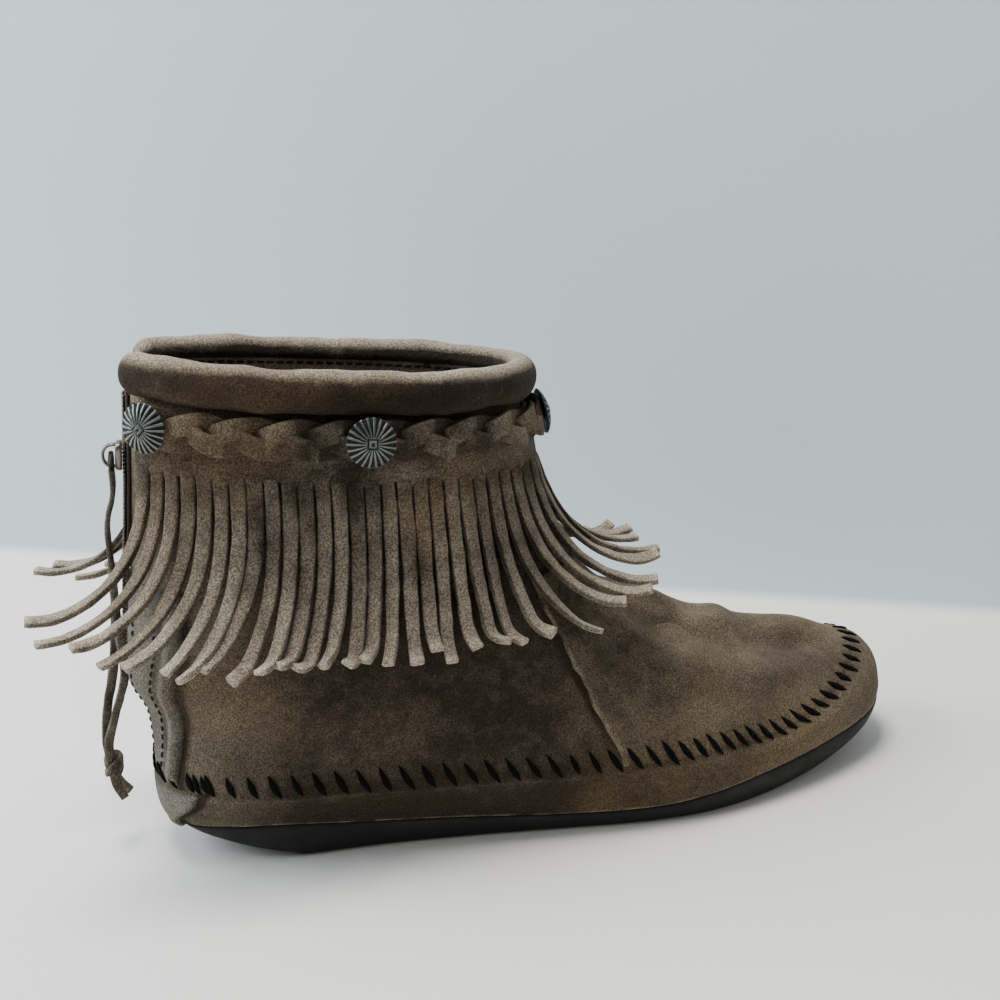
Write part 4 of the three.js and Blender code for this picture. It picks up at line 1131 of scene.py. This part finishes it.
def makeStrips():
    # a flat section along each line, a little narrower and lighter towards the tip
    path, across, share, count = stripLines()
    each = np.arange(count)[:, None]
    width = fringe["wide"] * (1 + 0.05 * np.sin(each * 1.9) + 0.04 * np.sin(share * 17 + each))
    width = width * (1 - 0.09 * smooth(share, 0.15, 0.7))[None]
    root = np.concatenate([[0.45, 0.5, 0.62, 0.78, 0.92], np.ones(len(share) - 5)])
    thick = fringe["thick"] * (1 + 0.10 * np.sin(each * 3.1)) * root[None]
    rings = ribbonRings(path, across, width, thick, fringe["around"], 4.2)
    rings = roughened(rings, path, 0.13, 5.5, 51)
    tint = np.clip(0.28 + 0.06 * rng.normal(0, 1, count), 0.05, 1)[:, None, None]
    edge = np.abs(np.cos(circle(fringe["around"], 0.5))) > 0.8
    # the strips leave the band in its own tone and grow lighter towards the tips
    grow = smooth(share, 0, 0.22)[None, :, None]
    tone = 0.08 * (1 - grow) + tint * grow + 0.10 * ripple(rings, 14, 52)
    tone = tone + 0.44 * smooth(share, 0.3, 1)[None, :, None] - 0.30 * edge[None, None]
    # painted highlight on the cut end of each strip
    wearAndHighlight = 0.95 * smooth(share, 0.955, 1.0)[None, :, None]
    return dress(tubes("fringe_strips", rings, tone, wearAndHighlight), "fringe", "fringeSuede", "fringe")


makeBand()
makeStrips()
print("fringe done")


# Plait of three flat thongs: each swings from side to side and dips under its neighbour in turn
plait = dict(swing=3.1, dip=1.45, wide=6.3, thick=1.6, pitch=39.0, steps=640, around=18)


def makePlait():
    # three sine waves a third apart, each over its neighbour on one half and under it on the other
    out = bandOut + 0.3 + bandThick
    run = shaftRun(braidDrop, out, backGap, 2 - backGap, plait["steps"])
    up = facing(unit(np.cross(run["out"], run["ahead"])), skyward)
    lobes = round(2 * run["total"] / plait["pitch"])
    base = -np.pi * lobes * run["far"] / run["total"]
    rim = np.abs(np.cos(circle(plait["around"], 0.5))) > 0.9
    thongs, tones = [], []
    for k in range(3):
        phase = base + 2 * np.pi * k / 3
        high = plait["swing"] * np.sin(phase)
        deep = plait["dip"] * np.sin(2 * phase) + 1.75
        path = run["point"] + up * high[:, None] + run["out"] * deep[:, None]
        # the thong is dished: it lies over its neighbour with its edges turned in
        across = up - run["out"] * (0.14 * np.cos(phase))[:, None]
        rings = ribbonRings(path, across, plait["wide"], plait["thick"], plait["around"], 4.5)
        rings = roughened(rings, path, 0.16, 8, 61 + k)
        thongs.append(rings)
        # painted shade: darker where the thong runs under its neighbour and along its two edges
        under = 1 - smooth(np.sin(2 * phase), -0.5, 0.35)
        tones.append(0.08 - 0.75 * under[:, None] - 0.6 * rim[None] + 0.12 * ripple(rings, 16, 65 + k))
    piece = tubes("plait_thongs", np.stack(thongs), np.stack(tones), 0.05)
    return dress(piece, "fringe", "laceSuede", "braid")


makePlait()
print("plait done")


# Conchos: domed discs with flutes, a scalloped edge and a small square boss
concho = dict(size=15.0, lift=4.1, dome=2.2, rim=0.6, flutes=22, rings=40, around=264)


def makeConcho(turn, node, spin):
    # height over the radius r and angle a: dome less grooves and ring, plus the boss
    turn = np.array(float(turn))
    level = levelBelow(turn, braidDrop)
    centre, face = shifted(turn, level, bandOut + bandThick + concho["lift"]), outward(turn, level)
    side = unit(np.cross(skyward, face))
    up = np.cross(face, side)
    r, a = np.linspace(0, 1, concho["rings"])[:, None], circle(concho["around"])[None]
    ray = np.cos(concho["flutes"] * a + 0.6)
    scallop = 1 - 0.025 * (1 - ray) / 2 * smooth(r, 0.8, 1)
    dome = concho["dome"] * (1 - r ** 2.4) + concho["rim"]
    # wedges sunk between thin rays, wide at the rim and narrow near the boss
    cut = 0.25 - 0.85 * smooth(r, 0.25, 0.9)
    groove = 0.5 * smooth(-ray, cut, cut + 0.4) * smooth(r, 0.22, 0.31) * (1 - 0.7 * smooth(r, 0.93, 0.98))
    square = np.maximum(np.abs(np.cos(a + spin)), np.abs(np.sin(a + spin))) * r
    ringCut = 0.3 * bell(square - 0.180, 0.035)
    boss = 0.45 * (1 - smooth(square, 0.12, 0.150)) - 0.4 * (1 - smooth(square, 0.05, 0.08))
    high = dome - groove - ringCut + boss
    reach = concho["size"] / 2 * r * scallop
    tone = 0.85 - 2.2 * groove - 2.6 * ringCut + 0 * a
    tone = tone - 0.6 * (1 - smooth(square, 0.04, 0.07)) - 0.3 * smooth(r, 0.95, 1)
    shapes = [(reach * np.cos(a), reach * np.sin(a), high)]
    for share, drop in ((1.0, concho["rim"] * 0.45), (0.97, 0.12), (0.9, 0.0), (0.6, 0.0), (0.3, 0.0)):
        shapes.append((reach[-1:] * share * np.cos(a), reach[-1:] * share * np.sin(a), drop + 0 * a))
    local = np.concatenate([np.stack(np.broadcast_arrays(*s), -1) for s in shapes])
    points = centre + local[..., :1] * side + local[..., 1:2] * up + local[..., 2:] * face
    tone = np.concatenate([tone, np.full((5, concho["around"]), 0.3)])
    return dress(tubes(node + "_fluted", points[1:], tone[1:], 0.0), "pewter", "pewter", node)


for turn, place, spin in ((1, "front", 0.2), (-0.412, "outer_mid", 0.1), (-0.118, "outer_back", 0.78),
                          (0.412, "inner_mid", 0.5), (0.118, "inner_back", 0.9)):
    makeConcho(turn, "concho_" + place, spin)
print("conchos done")


# Whip stitching: a black lace goes over the seam at each mark and sinks into a hole at both ends
stitch = dict(long=7.9, wide=2.05, thick=0.7, steps=15, around=10)


def makeWhip():
    # each stitch is a short line across the seam that rises over it and sinks at both ends
    total = laced["phase"][-1]
    marks = np.arange(0, int(total)) + 0.5
    turn = np.interp(marks, laced["phase"], laced["turn"])
    # at the heel the lace runs close, stitch on stitch, on both sides of the tab
    byTab = np.array([0.030, 0.058, 0.086, 0.140, 0.153])
    turn = np.concatenate([turn[np.abs(turn) > 0.012], np.stack([-byTab, byTab], 1).ravel()])
    count = len(turn)
    s = np.linspace(-1, 1, stitch["steps"])
    jitter = rng.normal(0, 1, (count, 3))
    low, high = skin(turn, stitchLevel - 0.3), skin(turn, stitchLevel + 0.3)
    perLevel = np.linalg.norm(high - low, axis=1) / 0.6
    length = stitch["long"] * (1 + 0.07 * jitter[:, 0])
    length = length * np.interp(low[:, 0], [-118, -96, -70], [0.62, 0.68, 1.0])
    wide = np.linalg.norm(skin(turn + 0.002, stitchLevel) - skin(turn - 0.002, stitchLevel), axis=1) / 0.004
    rise = np.interp(low[:, 0], [-120, 60, 105], [0.34, 0.28, 0.0])
    level = stitchLevel + rise[:, None] + s[None] * (length / 2 / perLevel)[:, None]
    side = np.where(turn < 0, -1.0, 1.0)
    tilt = np.interp(low[:, 0], [-110, -60, 0, 70, 100, 118], [0.55, 0.45, 0.25, 0.18, 0.0, -0.25])
    slant = (tilt + 0.05 * jitter[:, 1])[:, None] * (length / 2)[:, None] * s[None] / wide[:, None]
    # towards the toe the mark turns with the seam, always leaning back at its top
    t = wrapped(turn[:, None] - side[:, None] * slant)
    over = 0.35 * (1 - np.abs(s) ** 2.4)[None] - 0.3 * np.abs(s)[None] ** 6
    onPanel = smooth(np.abs(t), panelColumn - 0.006, panelColumn + 0.006) * panelLift(level)
    onStrip = (np.abs(t) < weltColumn(level)) * overlay["stripRise"] * stripFoot(level)
    onStrip = onStrip * smooth(level, 3.0, 3.1)
    onTab = (np.abs(t) < 0.146) * overlay["tabRise"] * (1 - smooth(level, 2.65, 2.95))
    path = onLeather(t, level, 0.2 + onPanel + onStrip + onTab + over)
    normal = outward(t, level)
    ahead = unit(np.gradient(path, axis=1))
    across = np.cross(ahead, normal)
    width = stitch["wide"] * (1 - 0.92 * np.abs(s) ** 1.9)[None] * (1 + 0.08 * jitter[:, 2:])
    rings = ribbonRings(path, across, width, stitch["thick"], stitch["around"], 2.4)
    return dress(tubes("whip_stitching", rings, 0.5, 0.0), "blackLace", "suede")


makeWhip()
print("stitching done")


# Zip: woven tape, closed coil chain and slider
zipper = dict(low=8.85, pitch=1.25, halfWide=3.4, halfHigh=4.4, sliderOut=2.3, bridgeWide=2.3, bridgeHigh=4.0)


def makeZip():
    # a flat tape from below to the top edge, with teeth from the left and right in turn
    level = np.linspace(zipper["low"], topLevel - 0.1, 120)
    column = (grooveColumn - 0.006) * 0.9 / 3.0
    width = np.array([[0, .3], [1, .3], [2, .3], [2.9, .35], [3, .5], [3, .9], [2.9, 1.1], [2, 1.1], [1, 1.1],
                      [0, 1.1]])
    width = np.concatenate([width, width[-2:0:-1] * np.array([-1, 1])])
    t, l = np.broadcast_arrays(width[None, :, 0] * column, level[:, None])
    rings = shifted(t, l, width[None, :, 1])
    tape = dress(tubes("zip_tape", rings, 0.5, 0.0), "tape", "zipTape", "zip")
    level = np.linspace(zipper["low"] + 0.05, topLevel - 0.15, 400)
    far = lengthAlong(skin(0.0, level))
    at = np.interp(np.arange(0.8, far[-1] - 0.6, zipper["pitch"] / 2), far, level)
    hand = np.where(np.arange(len(at)) % 2 == 0, 1.0, -1.0)[:, None]
    s = np.linspace(-1, 1, 9)[None]
    t = column * (hand * (0.75 + 0.95 * s))
    path = shifted(t, at[:, None], 1.45 + 0.35 * (1 - s ** 4))
    up = unit(skin(0.0, at + 0.1) - skin(0.0, at - 0.1))
    rings = ribbonRings(path, up[:, None], 0.95, 0.9, 8, 2.2)
    coil = dress(tubes("zip_coil", rings, 0.6, 0.0), "slider", "zipTape")
    return tape, coil


def makeSlider():
    # rounded square layers from the tape outwards, and a half-round bridge over them
    level = levelAt(np.array(0.0), sliderZ)
    place, face = shifted(0.0, level, zipper["sliderOut"]), outward(0.0, level)
    up = unit(skin(0.0, level + 0.2) - skin(0.0, level - 0.2))
    side, wide, high = np.array([0, 1.0, 0]), zipper["halfWide"], zipper["halfHigh"]
    c, s = (rounded(way(circle(40)), 0.5) for way in (np.cos, np.sin))
    layers = [(0.94, 0.0), (1, 0.2), (1, 1.1), (0.97, 1.6), (0.88, 1.95), (0.7, 2.0)]
    # the body narrows towards its foot
    rings = np.stack([place + side * (wide * f * c * (1 + 0.14 * s))[:, None] + up * (high * f * s)[:, None]
                      + face * h for f, h in layers])
    body = dress(tubes("slider_body", rings, 0.7, 0.0), "slider", "sliderMetal", "zip_slider")
    share = np.linspace(0, np.pi, 25)
    rise = 1.6 + zipper["bridgeHigh"] * np.sin(share) ** 0.6
    path = place + up * (wide * np.cos(share))[:, None] + face * rise[:, None]
    rings = ribbonRings(path, side, zipper["bridgeWide"], 1.0, 12, 3.0)
    bridge = dress(tubes("slider_bridge", rings, 0.75, 0.0), "slider", "sliderMetal")
    return body, bridge


makeZip()
makeSlider()
print("zip done")


# Floor and backdrop, soft light from the upper left like a window
stageSet = dict(floor=(226, 222, 216), wall=(206, 217, 224), wallFoot=(0.200, -0.522), fillet=0.006)


def makeStage():
    # the wall stands behind the boot at a slant: its foot is the line y = a + b x, joined by a small fillet
    turn = np.linspace(0, np.pi / 2, 9)
    bend = stageSet["fillet"]
    off = np.concatenate([-np.linspace(3.0, 0.0, 10) ** 1.5 - bend, bend * (np.sin(turn[1:]) - 1), np.zeros(8)])
    high = np.concatenate([np.zeros(10), bend * (1 - np.cos(turn[1:])), np.linspace(0.03, 2.4, 8)])
    foot, slope = stageSet["wallFoot"]
    along = unit(np.array([1, slope, 0]))
    back = np.array([-along[1], along[0], 0])
    x, y = np.meshgrid(np.linspace(-3.0, 3.0, 13), off)
    z = np.broadcast_to(high[:, None], x.shape) - 0.0002
    points = np.array([0, foot, 0]) + x[..., None] * along + y[..., None] * back + z[..., None] * skyward
    floor = meshOf("table_and_wall", points.reshape(-1, 3) / mm, gridFaces(26, 13)[:, ::-1])
    material, n, shader = newMaterial("paleTable")
    high = n.put("SeparateXYZ", "Z", {"Vector": n.place})
    pale = n.mix(n.span(high, 0.001, 0.005), linear(*stageSet["floor"]), linear(*stageSet["wall"]))
    cloud = n.span(n.noise(2.2, 3.0, 0.5), 0.2, 0.8, 0.96, 1.03)
    fill(shader, {"Base Color": n.scaled(pale, cloud), "Roughness": 0.55, "Specular IOR Level": 0.25})
    floor.data.materials.append(material)


def softLight(name, place, aim, wide, power, colour):
    # an oblong lamp at its place, turned to face its aim
    lamp = bpy.data.lights.new(name, "AREA")
    lamp.shape, lamp.size, lamp.size_y, lamp.energy, lamp.color = "RECTANGLE", wide[0], wide[1], power, colour
    back = unit(np.array(place, float) - np.array(aim, float))
    across = unit(np.cross(skyward, back))
    link(name, lamp).matrix_world = turnedPlace(across, np.cross(back, across), back, place)


makeStage()
softLight("windowLeft", (-1.25, 0.28, 0.95), (0, 0, 0.07), (1.1, 0.9), 34, (0.82, 0.92, 1.0))
softLight("windowHigh", (-0.20, 0.12, 1.5), (0, 0, 0.05), (0.7, 0.45), 33, (1.0, 0.98, 0.95))
softLight("fillRight", (1.1, -1.2, 0.6), (0, 0, 0.08), (1.2, 1.0), 3.5, (1.0, 0.92, 0.82))
world = bpy.data.worlds.new("paleRoom")
world.use_nodes = True
fill(world.node_tree.nodes["Background"], {"Color": linear(205, 210, 214), "Strength": 0.34})
bpy.context.scene.world = world
print("stage done")
